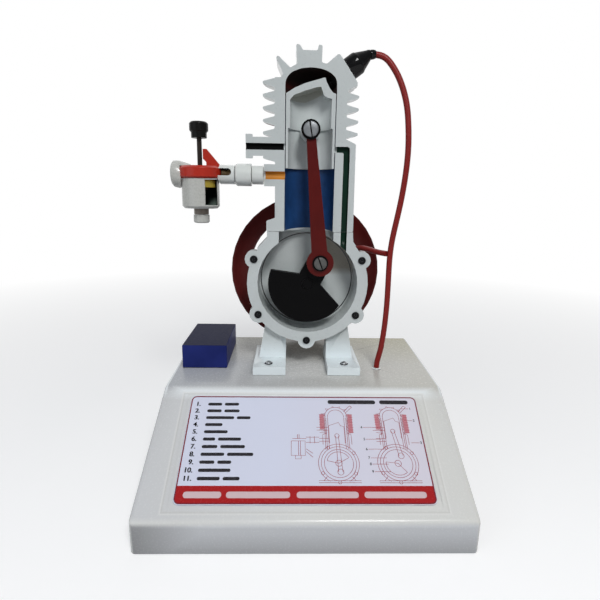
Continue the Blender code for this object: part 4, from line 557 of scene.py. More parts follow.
SLOT_HEAD_HEIGHT = 0.0018
SLOT_HALF_WIDTH = 0.00048
SLOT_DEPTH = 0.0010
SLOT_SHANK_RADIUS = 0.0018
SLOT_HEAD_INSET = 0.0003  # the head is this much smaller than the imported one


def slot_screw(name, body, turn, look):
    """A cheese-head screw whose slot is painted dark as shade, in place of a node whose axis runs along Y."""
    low, high = (Vector(end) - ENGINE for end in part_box(name))
    radius, foot = (high.x - low.x) / 2 - SLOT_HEAD_INSET, low.y - high.y
    profile = [
        (0, 0), (radius - 0.0008, 0), (radius - 0.0003, -0.0002), (radius, -0.0006),
        (radius, -SLOT_HEAD_HEIGHT), (SLOT_SHANK_RADIUS, -SLOT_HEAD_HEIGHT),
        (SLOT_SHANK_RADIUS, foot), (0, foot),
    ]
    slot = box_bmesh((-SLOT_HALF_WIDTH, -radius - BURY, -SLOT_DEPTH), (SLOT_HALF_WIDTH, radius + BURY, BURY))
    bm = combined(turned_bmesh(profile, 48), [("DIFFERENCE", slot)], "EXACT")
    for face in bm.faces:
        middle = face.calc_center_median()
        inside = abs(middle.x) < SLOT_HALF_WIDTH + 1e-5 and -SLOT_DEPTH - 1e-5 < middle.z < -1e-5
        # the slot's faces take the second finish, painted shade
        face.material_index = int(inside and abs(face.normal.y) < 0.5)
    bm.transform(facing_front((low.x + high.x) / 2, (low.z + high.z) / 2, low.y, turn))
    return add_solid(name, bm, body, (look, "soot"))


# Settings

def colour_setting(name, description, default):
    """A colour that the panel shows."""
    return FloatVectorProperty(
        name=name, description=description, subtype="COLOR", min=0, max=1, default=default)


def power_setting(name, description, default):
    """A lamp's power that the panel shows."""
    return FloatProperty(name=name, description=description, subtype="POWER", min=0, default=default)


class StandSettings(bpy.types.PropertyGroup):
    shell: colour_setting("Shell", "Colour of the moulded shell", (0.70, 0.71, 0.70))
    # Painted brown shade on the shell's top at the back on the right, beneath the engine
    warm: colour_setting(
        "Warm tone", "Colour of the shell's top at the back on the right", (0.47, 0.44, 0.31))
    box: colour_setting("Battery box", "Colour of the battery box", (0.020, 0.030, 0.165))


class EngineSettings(bpy.types.PropertyGroup):
    enamel: colour_setting("Enamel", "Colour of the castings", (0.545, 0.585, 0.58))
    bore: colour_setting("Bore", "Colour of the painted bore", (0.015, 0.064, 0.200))
    chamber: colour_setting("Combustion chamber", "Colour of the painted dome", (0.006, 0.003, 0.003))
    inlet: colour_setting("Inlet", "Colour of the inlet channel", (0.60, 0.24, 0.022))
    transfer: colour_setting("Transfer", "Colour of the transfer passage", (0.005, 0.030, 0.017))
    rod: colour_setting("Rod", "Colour of the connecting rod", (0.098, 0.0065, 0.0055))
    wheel: colour_setting("Flywheel", "Colour of the flywheel", (0.092, 0.0075, 0.0065))
    rounding: FloatProperty(
        name="Casting edges", description="Rounding of the castings' edges", subtype="DISTANCE",
        unit="LENGTH", min=0, max=0.001, default=0.0005, precision=5)


class StageSettings(bpy.types.PropertyGroup):
    world: FloatProperty(
        name="Surround", description="Strength of the pale surround", min=0, max=2, default=0.30)
    key: power_setting("Key lamp", "Power of the large lamp at the right", 6.15)
    fill: power_setting("Fill lamp", "Power of the lamp at the left", 1.6)
    back: power_setting("Back lamp", "Power of the lamp behind the stand", 0.5)


LOOKS = {}  # the finishes, by a short name


def settings(name):
    """One group of the scene's settings."""
    return getattr(bpy.context.scene, name)


# Colours that change over a piece

def warm_top(warm):
    """Painted light and shade on the shell. The level top has painted bluish shade and reflection at the
    left, and painted brown shade towards the back at the right, beneath the engine.

    The slope has painted shade at the left and a painted highlight at its crest, and the skirt has painted
    shade low down and at the left.
    """
    def tint(tree, base):
        place = object_place(tree)
        x, y, z = place["X"], place["Y"], place["Z"]
        level = product(tree, ranged(tree, z, 0.060, 0.0675), ranged(tree, facing(tree, "Z"), 0.90, 0.99))
        # the top's colour: painted bluish shade at the left, and painted brown shade at the back on the right
        top = mix_colour(tree, ranged(tree, x, -0.085, 0.085), (0.46, 0.475, 0.50), (0.57, 0.56, 0.51))
        corner = product(tree, ranged(tree, x, -0.03, 0.08, 0.6, 1.0), ranged(tree, y, 0.02, 0.088))
        base = mix_colour(tree, level, base, mix_colour(tree, corner, top, warm))
        sloping = product(tree, ranged(tree, z, SKIRT_HEIGHT, SKIRT_HEIGHT + 0.002),
                          math_node(tree, "SUBTRACT", 1.0, level))
        # painted shade on the slope's left
        left = product(tree, ranged(tree, x, 0.0, -0.095), sloping, 0.7)
        base = mix_colour(tree, left, base, (0.58, 0.59, 0.61))
        # painted highlight along the slope's crest
        crest = product(tree, ranged(tree, z, 0.0615, 0.0655), 0.7, sloping)
        base = mix_colour(tree, crest, base, (0.90, 0.95, 0.97))
        # painted shade on the skirt, low down and at its left end
        skirt = product(tree, ranged(tree, facing(tree, "Y"), -0.80, -0.97),
                        ranged(tree, z, SKIRT_HEIGHT + 0.0015, SKIRT_HEIGHT - 0.0015))
        left_end = ranged(tree, x, -0.060, -0.097)
        deep = math_node(tree, "MAXIMUM", ranged(tree, z, 0.013, 0.0, 0.0, 0.55), left_end)
        front = mix_colour(tree, deep, (0.61, 0.625, 0.645), (0.33, 0.335, 0.34))
        return panel_line(tree, place, mix_colour(tree, skirt, base, front))
    return tint


def panel_line(tree, place, base):
    """Lines of painted shade and painted highlight for a faint border on the slope, some way outside the
    label.
    """
    back = math_node(tree, "SUBTRACT", place["Y"], LABEL_MIDDLE.y)
    rise = math_node(tree, "SUBTRACT", place["Z"], LABEL_MIDDLE.z)
    along = math_node(tree, "ADD", product(tree, back, math.cos(SLOPE_ANGLE)),
                      product(tree, rise, math.sin(SLOPE_ANGLE)))
    side = math_node(tree, "SUBTRACT", math_node(tree, "ABSOLUTE", place["X"]), LABEL_WIDTH / 2 + PANEL_SIDE)
    off_middle = math_node(tree, "ABSOLUTE", math_node(tree, "ADD", along, PANEL_DROP))
    up = math_node(tree, "SUBTRACT", off_middle, LABEL_LENGTH / 2 + PANEL_DROP + PANEL_TOP)
    away = math_node(tree, "MAXIMUM", side, up)
    sloping = product(tree, ranged(tree, place["Z"], SKIRT_HEIGHT, SKIRT_HEIGHT + 0.002),
                      ranged(tree, place["Z"], 0.0675, 0.0665))
    # a dark line of painted shade, then a pale line of painted highlight
    for starts, ends, share, colour in (
            ((-0.0012, -0.0001), (0.0004, 0.0), 0.35, (0.50, 0.49, 0.45)),
            ((0.0001, 0.0005), (0.0016, 0.0006), 0.5, (0.78, 0.78, 0.76))):
        line = product(tree, ranged(tree, away, *starts), ranged(tree, away, *ends), sloping, share)
        base = mix_colour(tree, line, base, colour)
    return base


def dark_lid():
    """The box's top is duller and darker than its sides."""
    def tint(tree, base):
        return mix_colour(tree, ranged(tree, facing(tree, "Z"), 0.7, 0.95), base, (0.004, 0.006, 0.034))
    return tint


def pink_right():
    """The label's paper is pinker towards the right."""
    def tint(tree, base):
        share = ranged(tree, object_place(tree)["X"], -0.02, LABEL_WIDTH / 2, 0.0, 0.7)
        return mix_colour(tree, share, base, (0.71, 0.65, 0.72))
    return tint


def pale_feet(enamel):
    """Painted light makes the feet paler than the rest of the casting, and painted shade makes the head a
    little darker.
    """
    def tint(tree, base):
        height = object_place(tree)["Z"]
        # painted shade on the head
        dull = tuple(0.86 * part for part in enamel)
        duller = mix_colour(tree, ranged(tree, height, 0.20, 0.285), base, dull)
        # painted light on the feet
        return mix_colour(tree, ranged(tree, height, 0.092, 0.078), duller, (0.78, 0.85, 0.87))
    return tint


def cover_line():
    """A dark line of painted shade round the cover near its edge, where the chamber's wall shades it, and a
    painted brown shadow at its upper right.
    """
    def tint(tree, base):
        place = object_place(tree)
        x = math_node(tree, "SUBTRACT", place["X"], ENGINE.x)
        z = math_node(tree, "SUBTRACT", place["Z"], ENGINE.z)
        across = distance(tree, x, z)
        # the line of painted shade
        line = product(tree, math_node(tree, "GREATER_THAN", across, 0.0353),
                       math_node(tree, "LESS_THAN", across, 0.0362))
        # the painted brown shadow at the upper right
        high = product(tree, ranged(tree, x, 0.009, 0.013), ranged(tree, z, 0.003, 0.009))
        return mix_colour(tree, line, mix_colour(tree, high, base, (0.22, 0.20, 0.155)), (0.02, 0.02, 0.022))
    return tint


def bare_past(side, limit, enamel):
    """Paint that ends on an upright line, with the enamel past it. side is LESS_THAN or GREATER_THAN."""
    def tint(tree, base):
        return mix_colour(tree, math_node(tree, side, object_place(tree)["X"], limit), base, enamel)
    return tint


def bore_ends(enamel):
    """The bore is dark over the piston's reach, and bare in a strip over the joint.

    The strip narrows to the front.
    """
    def tint(tree, base):
        place = object_place(tree)
        over = math_node(tree, "GREATER_THAN", place["Z"], ENGINE.z + 0.1276)
        base = mix_colour(tree, over, base, (0.020, 0.004, 0.004))
        joint = ENGINE.z + JOINT_Z
        strip = ranged(tree, place["Y"], ENGINE.y, ENGINE.y + BORE_RADIUS, joint, joint + 0.0019)
        return mix_colour(tree, math_node(tree, "LESS_THAN", place["Z"], strip), base, enamel)
    return tint


def maroon_left():
    """The dome's paint is redder low down on the left."""
    def tint(tree, base):
        place = object_place(tree)
        spring = ENGINE.z + SPRING_Z
        low = ranged(tree, place["Z"], spring + 0.006, spring - 0.004)
        left = ranged(tree, place["X"], ENGINE.x + 0.002, ENGINE.x - BORE_RADIUS)
        return mix_colour(tree, product(tree, low, left), base, (0.085, 0.012, 0.010))
    return tint


def crown_shade():
    """Painted shade under the crown: olive grey on the piston's inside, down to an arc on its inner wall."""
    def tint(tree, base):
        place = object_place(tree)
        x = math_node(tree, "SUBTRACT", place["X"], ENGINE.x)
        y = math_node(tree, "SUBTRACT", place["Y"], ENGINE.y)
        rise = product(tree, math_node(tree, "MAXIMUM", math_node(tree, "ADD", x, 0.0035), 0.0), 0.42)
        limit = math_node(tree, "ADD", rise, ENGINE.z + WRIST_Z + 0.0200)
        over = ranged(tree, math_node(tree, "SUBTRACT", place["Z"], limit), -0.0002, 0.0004)
        behind = math_node(tree, "GREATER_THAN", place["Y"], ENGINE.y + 0.0004)
        inside = math_node(tree, "LESS_THAN", distance(tree, x, y), PISTON_INNER_RADIUS)
        # the crown's underside in painted shade
        return mix_colour(tree, product(tree, over, behind, inside), base, (0.42, 0.43, 0.385))
    return tint


def lit_corner():
    """Painted light: the bowl's inside is paler low down at the right, where light through the window falls.
    """
    def tint(tree, base):
        place = object_place(tree)
        middle = ENGINE.x + CARBURETTOR_X
        right = ranged(tree, place["X"], middle + 0.002, middle + 0.009)
        low = ranged(tree, place["Z"], BOWL_FLOOR_Z + 0.0075, BOWL_FLOOR_Z + 0.0015)
        return mix_colour(tree, product(tree, right, low), base, (0.42, 0.54, 0.48))
    return tint


# Finishes that no setting changes: the material's name, its colour, its roughness and the rest
FINISHES = {
    "black_metal": ("black_metal", (0.0025, 0.0025, 0.0028), 0.40, dict(
        shade=(0.004, 0.0038, 0.0038), wear=0.4, wear_colour=(0.04, 0.04, 0.04), specular=0.06)),
    "black_screw": ("black_oxide", (0.006, 0.0065, 0.0075), 0.38, dict(
        metallic=0.2, wear=0.7, wear_colour=(0.16, 0.16, 0.17), wear_radius=0.0003, specular=0.16)),
    # Soot on the spark plug, and painted shade in the screws' slots and round the foot screws.
    "soot": ("sooty_metal", (0.006, 0.006, 0.006), 0.5, dict(shade=(0.004, 0.004, 0.004), specular=0.1)),
    "rubber": ("rubber", (0.002, 0.002, 0.0022), 0.44, dict(
        shade=(0.003, 0.003, 0.003), grain=0.04, fine_scale=1400, wear=0.4, wear_colour=(0.012, 0.012, 0.012),
        specular=0.03, coat=0.35, coat_roughness=0.03)),
    "steel": ("turned_steel", (0.50, 0.52, 0.53), 0.30, dict(
        shade=(0.30, 0.31, 0.33), metallic=1.0, mottle=0.7, broad_scale=220, fine_scale=2200, wear=0.5,
        wear_colour=(0.72, 0.73, 0.74), wear_radius=0.0003)),
    "screw": ("dull_steel", (0.26, 0.275, 0.285), 0.45, dict(
        shade=(0.17, 0.18, 0.19), metallic=0.7, mottle=0.8, broad_scale=300, fine_scale=2200, grain=0.03,
        wear=0.4, wear_colour=(0.50, 0.51, 0.52), wear_radius=0.0002, specular=0.3)),
    # A darker copy of the dull steel, for the crank pin's screw.
    "dark_screw": ("worn_steel", (0.13, 0.13, 0.125), 0.48, dict(
        shade=(0.08, 0.08, 0.078), metallic=0.6, mottle=0.8, broad_scale=300, fine_scale=2200, grain=0.03,
        wear=0.4, wear_colour=(0.30, 0.30, 0.30), wear_radius=0.0002, specular=0.3)),
    "dark_steel": ("tarnished_steel", (0.020, 0.018, 0.018), 0.42, dict(
        shade=(0.012, 0.010, 0.010), metallic=0.3, mottle=0.7, broad_scale=200, specular=0.25)),
    "brass": ("brass", (0.48, 0.33, 0.12), 0.32, dict(
        shade=(0.30, 0.20, 0.08), metallic=1.0, mottle=0.7, broad_scale=160, fine_scale=1500, wear=0.5,
        wear_colour=(0.70, 0.55, 0.28), wear_radius=0.0003)),
    "dull_brass": ("dull_brass", (0.085, 0.054, 0.023), 0.50, dict(
        shade=(0.05, 0.032, 0.014), metallic=0.3, mottle=0.8, broad_scale=260, fine_scale=1500, wear=0.5,
        wear_colour=(0.24, 0.17, 0.08), wear_radius=0.0003, specular=0.2)),
    "stem": ("stem_metal", (0.030, 0.020, 0.015), 0.38, dict(
        shade=(0.016, 0.012, 0.010), metallic=0.3, mottle=0.7, specular=0.25)),
    # A lighter copy of the enamel, painted light on the neck's inner wall.
    "neck": ("neck_enamel", (0.74, 0.81, 0.80), 0.34, dict(
        shade=(0.66, 0.73, 0.72), mottle=0.5, broad_scale=55, fine_scale=650, grain=0.030)),
    "cap": ("cap_plastic", (0.44, 0.026, 0.012), 0.32, dict(
        shade=(0.36, 0.020, 0.010), mottle=0.4, coat=0.05, specular=0.25, wear=0.5,
        wear_colour=(0.54, 0.06, 0.03))),
    "knob": ("knob_plastic", (0.0035, 0.0035, 0.003), 0.34, dict(
        shade=(0.006, 0.006, 0.005), grain=0.03, wear=0.4, wear_colour=(0.03, 0.03, 0.03), specular=0.14)),
    "white_plastic": ("white_plastic", (0.50, 0.505, 0.475), 0.28, dict(
        shade=(0.44, 0.44, 0.40), mottle=0.6, broad_scale=60, fine_scale=800, grain=0.014, coat=0.2, wear=0.4,
        wear_colour=(0.66, 0.67, 0.65))),
    # A lighter copy of the white plastic, painted light on the pipe, nut and tube.
    "pale_plastic": ("pale_plastic", (0.66, 0.69, 0.67), 0.24, dict(
        shade=(0.58, 0.60, 0.56), mottle=0.5, broad_scale=60, fine_scale=800, grain=0.010, coat=0.5,
        coat_roughness=0.12)),
    # A darker plastic, painted shade on the drain's neck under the bowl.
    "drain": ("aged_plastic", (0.22, 0.185, 0.15), 0.38, dict(shade=(0.15, 0.12, 0.10), mottle=0.6)),
    "bowl_inside": ("bowl_inside", (0.020, 0.026, 0.022), 0.45, dict(
        shade=(0.008, 0.010, 0.008), mottle=0.5, specular=0.2, tint=lit_corner())),
    # A lighter copy of the bowl's inside, painted light on its floor.
    "bowl_floor": ("bowl_floor", (0.13, 0.175, 0.155), 0.45, dict(
        shade=(0.09, 0.12, 0.105), mottle=0.5, specular=0.2)),
    "float": ("float_plastic", (0.44, 0.33, 0.045), 0.36, dict(
        shade=(0.33, 0.25, 0.035), mottle=0.6, specular=0.3)),
    "board": ("hardboard", (0.24, 0.165, 0.10), 0.68, dict(
        shade=(0.16, 0.10, 0.06), mottle=0.8, broad_scale=90, fine_scale=1800, grain=0.08)),
    "cell": ("cell_jacket", (0.10, 0.10, 0.11), 0.32, dict(
        shade=(0.07, 0.07, 0.08), metallic=0.5, mottle=0.5, grain=0.01, wear=0.4)),
    "lead": ("lead_sleeve", (0.225, 0.015, 0.013), 0.38, dict(
        shade=(0.180, 0.012, 0.010), mottle=0.5, broad_scale=50, fine_scale=900, grain=0.01, specular=0.2)),
    "paper": ("label_face", (0.68, 0.71, 0.85), 0.20, dict(
        shade=(0.65, 0.67, 0.79), mottle=0.5, broad_scale=14, grain=0.003, coat=0.3, coat_roughness=0.05,
        hairlines=0.1, tint=pink_right())),
    "ink_red": ("red_ink", (0.40, 0.014, 0.016), 0.26, dict(
        shade=(0.34, 0.012, 0.014), grain=0.0, specular=0.2)),
    "ink_border": ("border_ink", (0.20, 0.012, 0.022), 0.24, dict(shade=(0.16, 0.010, 0.020), grain=0.0)),
    "ink_pale": ("pale_ink", (0.66, 0.50, 0.52), 0.24, dict(shade=(0.60, 0.42, 0.44), grain=0.0)),
    "ink_line": ("line_ink", (0.30, 0.022, 0.040), 0.26, dict(shade=(0.25, 0.02, 0.035), grain=0.0)),
    "ink_tone": ("tone_ink", (0.55, 0.21, 0.25), 0.26, dict(shade=(0.50, 0.19, 0.23), grain=0.0)),
    "ink_dark": ("dark_ink", (0.022, 0.020, 0.024), 0.26, dict(
        shade=(0.016, 0.014, 0.018), grain=0.0, specular=0.3)),
}


class ENGINE_OT_finishes(bpy.types.Operator):
    """Make the shader groups and the finishes that all pieces share"""
    bl_idname = "engine_model.finishes"
    bl_label = "Make the finishes"

    def execute(self, context):
        for make in (edge_wear_group, mottle_group, dust_group, scratch_group):
            tree = make()
            GROUPS[tree.name] = tree
        stand, engine = settings("engine_stand"), settings("engine_parts")
        enamel = tuple(engine.enamel)
        casting = dict(
            shade=tuple(0.90 * part for part in enamel), mottle=0.5, broad_scale=55, fine_scale=650,
            grain=0.030, coat_roughness=0.16)
        bore_left, bore_right = ENGINE.x - BORE_RADIUS, ENGINE.x + BORE_RADIUS
        chosen = {
            # The shell's tint paints light and shade on it.
            "shell": ("shell_gloss", stand.shell, 0.26, dict(
                shade=(0.66, 0.645, 0.59), mottle=0.55, broad_scale=11, fine_scale=900, grain=0.003,
                coat=0.08, coat_roughness=0.06, specular=0.3, tint=warm_top(tuple(stand.warm)))),
            "box": ("box_plastic", stand.box, 0.40, dict(
                shade=(0.009, 0.014, 0.075), mottle=0.5, broad_scale=45, wear=0.5,
                wear_colour=(0.05, 0.065, 0.20), specular=0.03, tint=dark_lid())),
            # The castings' enamel has painted light on the feet and painted shade on the head.
            "enamel": ("casting_enamel", enamel, 0.30, dict(
                casting, coat=0.35, wear=0.55, wear_colour=(0.70, 0.72, 0.71), wear_radius=0.0009,
                tint=pale_feet(enamel))),
            "cover": ("cover_enamel", enamel, 0.30, dict(casting, coat=0.35, tint=cover_line())),
            "piston": ("piston_enamel", enamel, 0.30, dict(casting, coat=0.2, tint=crown_shade())),
            "bore": ("bore_paint", engine.bore, 0.38, dict(
                shade=(0.006, 0.018, 0.055), mottle=0.6, broad_scale=70, grain=0.03, specular=0.25,
                tint=bore_ends(enamel))),
            "dome": ("dome_paint", engine.chamber, 0.45, dict(
                shade=(0.016, 0.005, 0.004), grain=0.03, specular=0.15, tint=maroon_left())),
            "exhaust": ("exhaust_paint", (0.002, 0.002, 0.0022), 0.55, dict(
                shade=(0.003, 0.003, 0.003), grain=0.03, specular=0.03,
                tint=bare_past("GREATER_THAN", bore_left - 0.0007, enamel))),
            "inlet": ("inlet_paint", engine.inlet, 0.42, dict(
                shade=(0.36, 0.13, 0.02), mottle=0.6, grain=0.03, specular=0.25,
                tint=bare_past("LESS_THAN", ENGINE.x - INLET_END_X + 0.0010, enamel))),
            "transfer": ("transfer_paint", engine.transfer, 0.36, dict(
                shade=(0.003, 0.014, 0.008), mottle=0.8, grain=0.04, specular=0.12,
                tint=bare_past("LESS_THAN", bore_right + 0.0014, enamel))),
            "rod": ("rod_enamel", engine.rod, 0.34, dict(
                shade=(0.065, 0.0045, 0.004), mottle=0.6, broad_scale=60, grain=0.03, specular=0.15, wear=0.5,
                wear_colour=(0.22, 0.03, 0.02))),
            "wheel": ("wheel_enamel", engine.wheel, 0.36, dict(
                shade=(0.045, 0.004, 0.004), mottle=0.6, broad_scale=40, grain=0.03, specular=0.22, wear=0.4,
                wear_colour=(0.18, 0.03, 0.03), dust=0.03)),
        }
        for look, (name, colour, roughness, rest) in {**chosen, **FINISHES}.items():
            LOOKS[look] = finish(name, tuple(colour), roughness, **rest)
        return {"FINISHED"}


# Stand and label

class ENGINE_OT_stand(bpy.types.Operator):
    """Dress the stand: shell, board, screws, battery box with its cells, and grommet"""
    bl_idname = "engine_model.stand"
    bl_label = "Dress the stand"

    def execute(self, context):
        shell = dress("stand_shell", "stand", ["shell"], "cream_moulding", width=0, sharp_angle=50)
        for vert in shell.data.vertices:
            if abs(vert.co.x) > FLARE_START_X:
                raised = min(1, max(0, (vert.co.z - SKIRT_HEIGHT) / SLOPE_RISE))
                back = min(1, max(0, (vert.co.y - TOP_FRONT_Y) / TOP_DEPTH))
                vert.co.x += math.copysign(TOP_FLARE * raised * back, vert.co.x)
        dress("stand_board", "stand", ["board"], "board")
        for number in range(1, 5):
            name = f"board_screw_{number}"
            middle = node_middle(name)
            seat = Matrix.Translation((middle.x, middle.y, BOARD_SCREW_Z)) @ Matrix.Rotation(math.pi, 4, "X")
            add_solid(name, cross_screw(0.0035, 0.0018, 0.012, seat), "stand", ["steel"])
        dress_each("stand", (
            ("battery_case", "box", "dark_blue", 0.0006, 3),
            ("battery_cell_1", "cell", "steel", 0.0004),
            ("battery_cell_2", "cell", "steel", 0.0004),
            ("lead_grommet", "shell", "cream_moulding", 0.0003, 3),
        ))
        return {"FINISHED"}


def label_matrix():
    """The label's frame, with X along it, Y up the slope and Z off its printed face."""
    slope = Matrix.Translation(LABEL_MIDDLE) @ Matrix.Rotation(SLOPE_ANGLE, 4, "X")
    return slope @ Matrix.Translation((0, 0, LABEL_FACE))


INK_RISE = 0.00006
INK_SINK = 0.00003
BORDER_INSET = 0.0003
BORDER_WIDTH = 0.0008
BAND_TOP = -0.0261
CORNER = 0.0034
ROW_TOP = 0.0293
ROW_PITCH = 0.00511
NUMBER_X = -0.0692
NUMBER_LEAN = 0.00018  # how far each row's number is to the right of the one above
NUMBER_SIZE = 0.0044
NUMBER_WEIGHT = 0.00006
NUMBER_SHIFTS = (-0.00016, 0.0, 0.00016)  # each number is drawn three times, to make it heavier
BAR_HEIGHT = 0.0021
# Where the bars of the eleven rows start and end, in millimetres
ROW_BARS = (
    ((-65, -55.6), (-53.8, -44.2)), ((-65, -55.4), (-53.6, -43.4)), ((-65, -46.6), (-44.8, -35.8)),
    ((-65, -53.7),), ((-65, -49.8),), ((-65, -57.2), (-55.4, -40.7)), ((-65, -55.2), (-53.4, -37.9)),
    ((-65, -50.4), (-48.6, -32.3)), ((-65, -55.8), (-54, -45.5)), ((-65, -45.5),),
    ((-65, -51.4), (-49.6, -39.5)),
)
HEADER_BARS = ((16, 48.6), (51.4, 71))
HEADER_Y = 0.0314
HEADER_HEIGHT = 0.0030
BAND_BARS = ((-71.6, -49.4), (-46.6, -9.2), (-5.4, 31.0), (34.4, 71.2))
BAND_BAR_HEIGHT = 0.0038
DRAWING_LINE = 0.00028
MARK_SIZE = 0.0024
MARK_WEIGHT = 0.00005
# The two drawings: the crank axis and the piston's lift in millimetres, the crank's turn, and if there is a
# carburettor
DRAWINGS = ((20.7, -12.1, -3.4, 3.0, True), (57.4, -12.1, 0.0, 0.5, False))
# Where the numbered lines point at the drawings. Those past the parting belong to the right drawing
LEADERS = (
    (68.6, 26.4), (69.6, 17.4), (71.4, 1.6), (40.2, 12.4), (41.2, 4.0), (42.0, -2.8), (42.8, -8.6),
    (43.4, -12.6), (44.2, -17.4),
)
PARTING_X = 57
# The toned walls of a drawing's barrel: left, right and foot from the crank axis, in millimetres
WALLS = ((-10.8, -7.9, 23.0), (7.9, 10.8, 20.4))
WALL_TOP = 34.0


def rounded_box(low, high, corner, steps=6, corners=(1, 1, 1, 1)):
    """An outline in X and Y, anticlockwise from the lower left, rounded where corners says so."""
    (x0, y0), (x1, y1) = low, high
    points = []
    for index, (x, y) in enumerate(((x0, y0), (x1, y0), (x1, y1), (x0, y1))):
        if not corners[index]:
            points.append((x, y))
            continue
        centre = (x + corner * (1 if x == x0 else -1), y + corner * (1 if y == y0 else -1))
        start = math.pi + index * math.pi / 2
        points += arc(centre, corner, start, start + math.pi / 2, steps)
    return points


def ink_bmesh(outline, high=INK_RISE):
    """A flat printed shape on the label, as a thin solid in the label's frame."""
    bm = bmesh.new()
    near = [bm.verts.new((x, y, high)) for x, y in outline]
    far = [bm.verts.new((x, y, -INK_SINK)) for x, y in outline]
    bm.faces.new(near)
    bm.faces.new(far[::-1])
    for i in range(len(near)):
        j = (i + 1) % len(near)
        bm.faces.new((near[i], far[i], far[j], near[j]))
    return bm


def print_piece(name, parts, look):
    """Printed shapes on the label, as one piece."""
    bm = merge(*parts)
    bm.transform(label_matrix())
    return add_piece(name, mesh_from(bm, name), "stand", [LOOKS[look]], ())


def border_bmesh():
    """The frame round the label, as one ring."""
    wide, long = LABEL_WIDTH / 2 - BORDER_INSET, LABEL_LENGTH / 2 - BORDER_INSET
    outer = rounded_box((-wide, -long - LABEL_FOOT), (wide, long), CORNER, 8)
    wide, long = wide - BORDER_WIDTH, long - BORDER_WIDTH
    inner = rounded_box((-wide, -long - LABEL_FOOT), (wide, long), CORNER - BORDER_WIDTH, 8)
    bm = bmesh.new()
    rings = [[bm.verts.new((x, y, z)) for x, y in outline]
             for outline, z in ((outer, -INK_SINK), (outer, INK_RISE), (inner, INK_RISE), (inner, -INK_SINK))]
    for first, second in zip(rings, rings[1:] + rings[:1]):
        for i in range(len(first)):
            j = (i + 1) % len(first)
            bm.faces.new((first[i], first[j], second[j], second[i]))
    return bm


def bars(rows, y, height):
    """Bars with round ends on one row. The rows give their ends in millimetres."""
    half = height / 2
    boxes = [((start / 1000, y - half), (end / 1000, y + half)) for start, end in rows]
    return [ink_bmesh(rounded_box(low, high, half * 0.9, 4)) for low, high in boxes]


def curve_mesh(curve):
    """The mesh that a curve comes to. The curve is removed."""
    guide = bpy.data.objects.new(curve.name, curve)
    bpy.context.scene.collection.objects.link(guide)
    mesh = evaluated_mesh(guide)
    bpy.data.curves.remove(curve)
    return mesh


def number_mesh(words, size, weight):
    """Numbers at places on the label, as one flat mesh in the label's frame."""
    whole = bmesh.new()
    for word, x, y, side in words:
        curve = bpy.data.curves.new("number", "FONT")
        curve.body = word
        curve.size = size
        curve.align_x = side
        curve.align_y = "CENTER"
        curve.extrude = INK_RISE / 2
        curve.offset = weight
        mesh = curve_mesh(curve)
        mesh.transform(Matrix.Translation((x, y, 0)))
        whole.from_mesh(mesh)
        bpy.data.meshes.remove(mesh)
    return whole


def circle_points(x, y, radius, steps=40, start=0.0, end=2 * math.pi):
    """Points along a circle, or along an arc of one."""
    return arc((x, y), radius, start, end, steps)


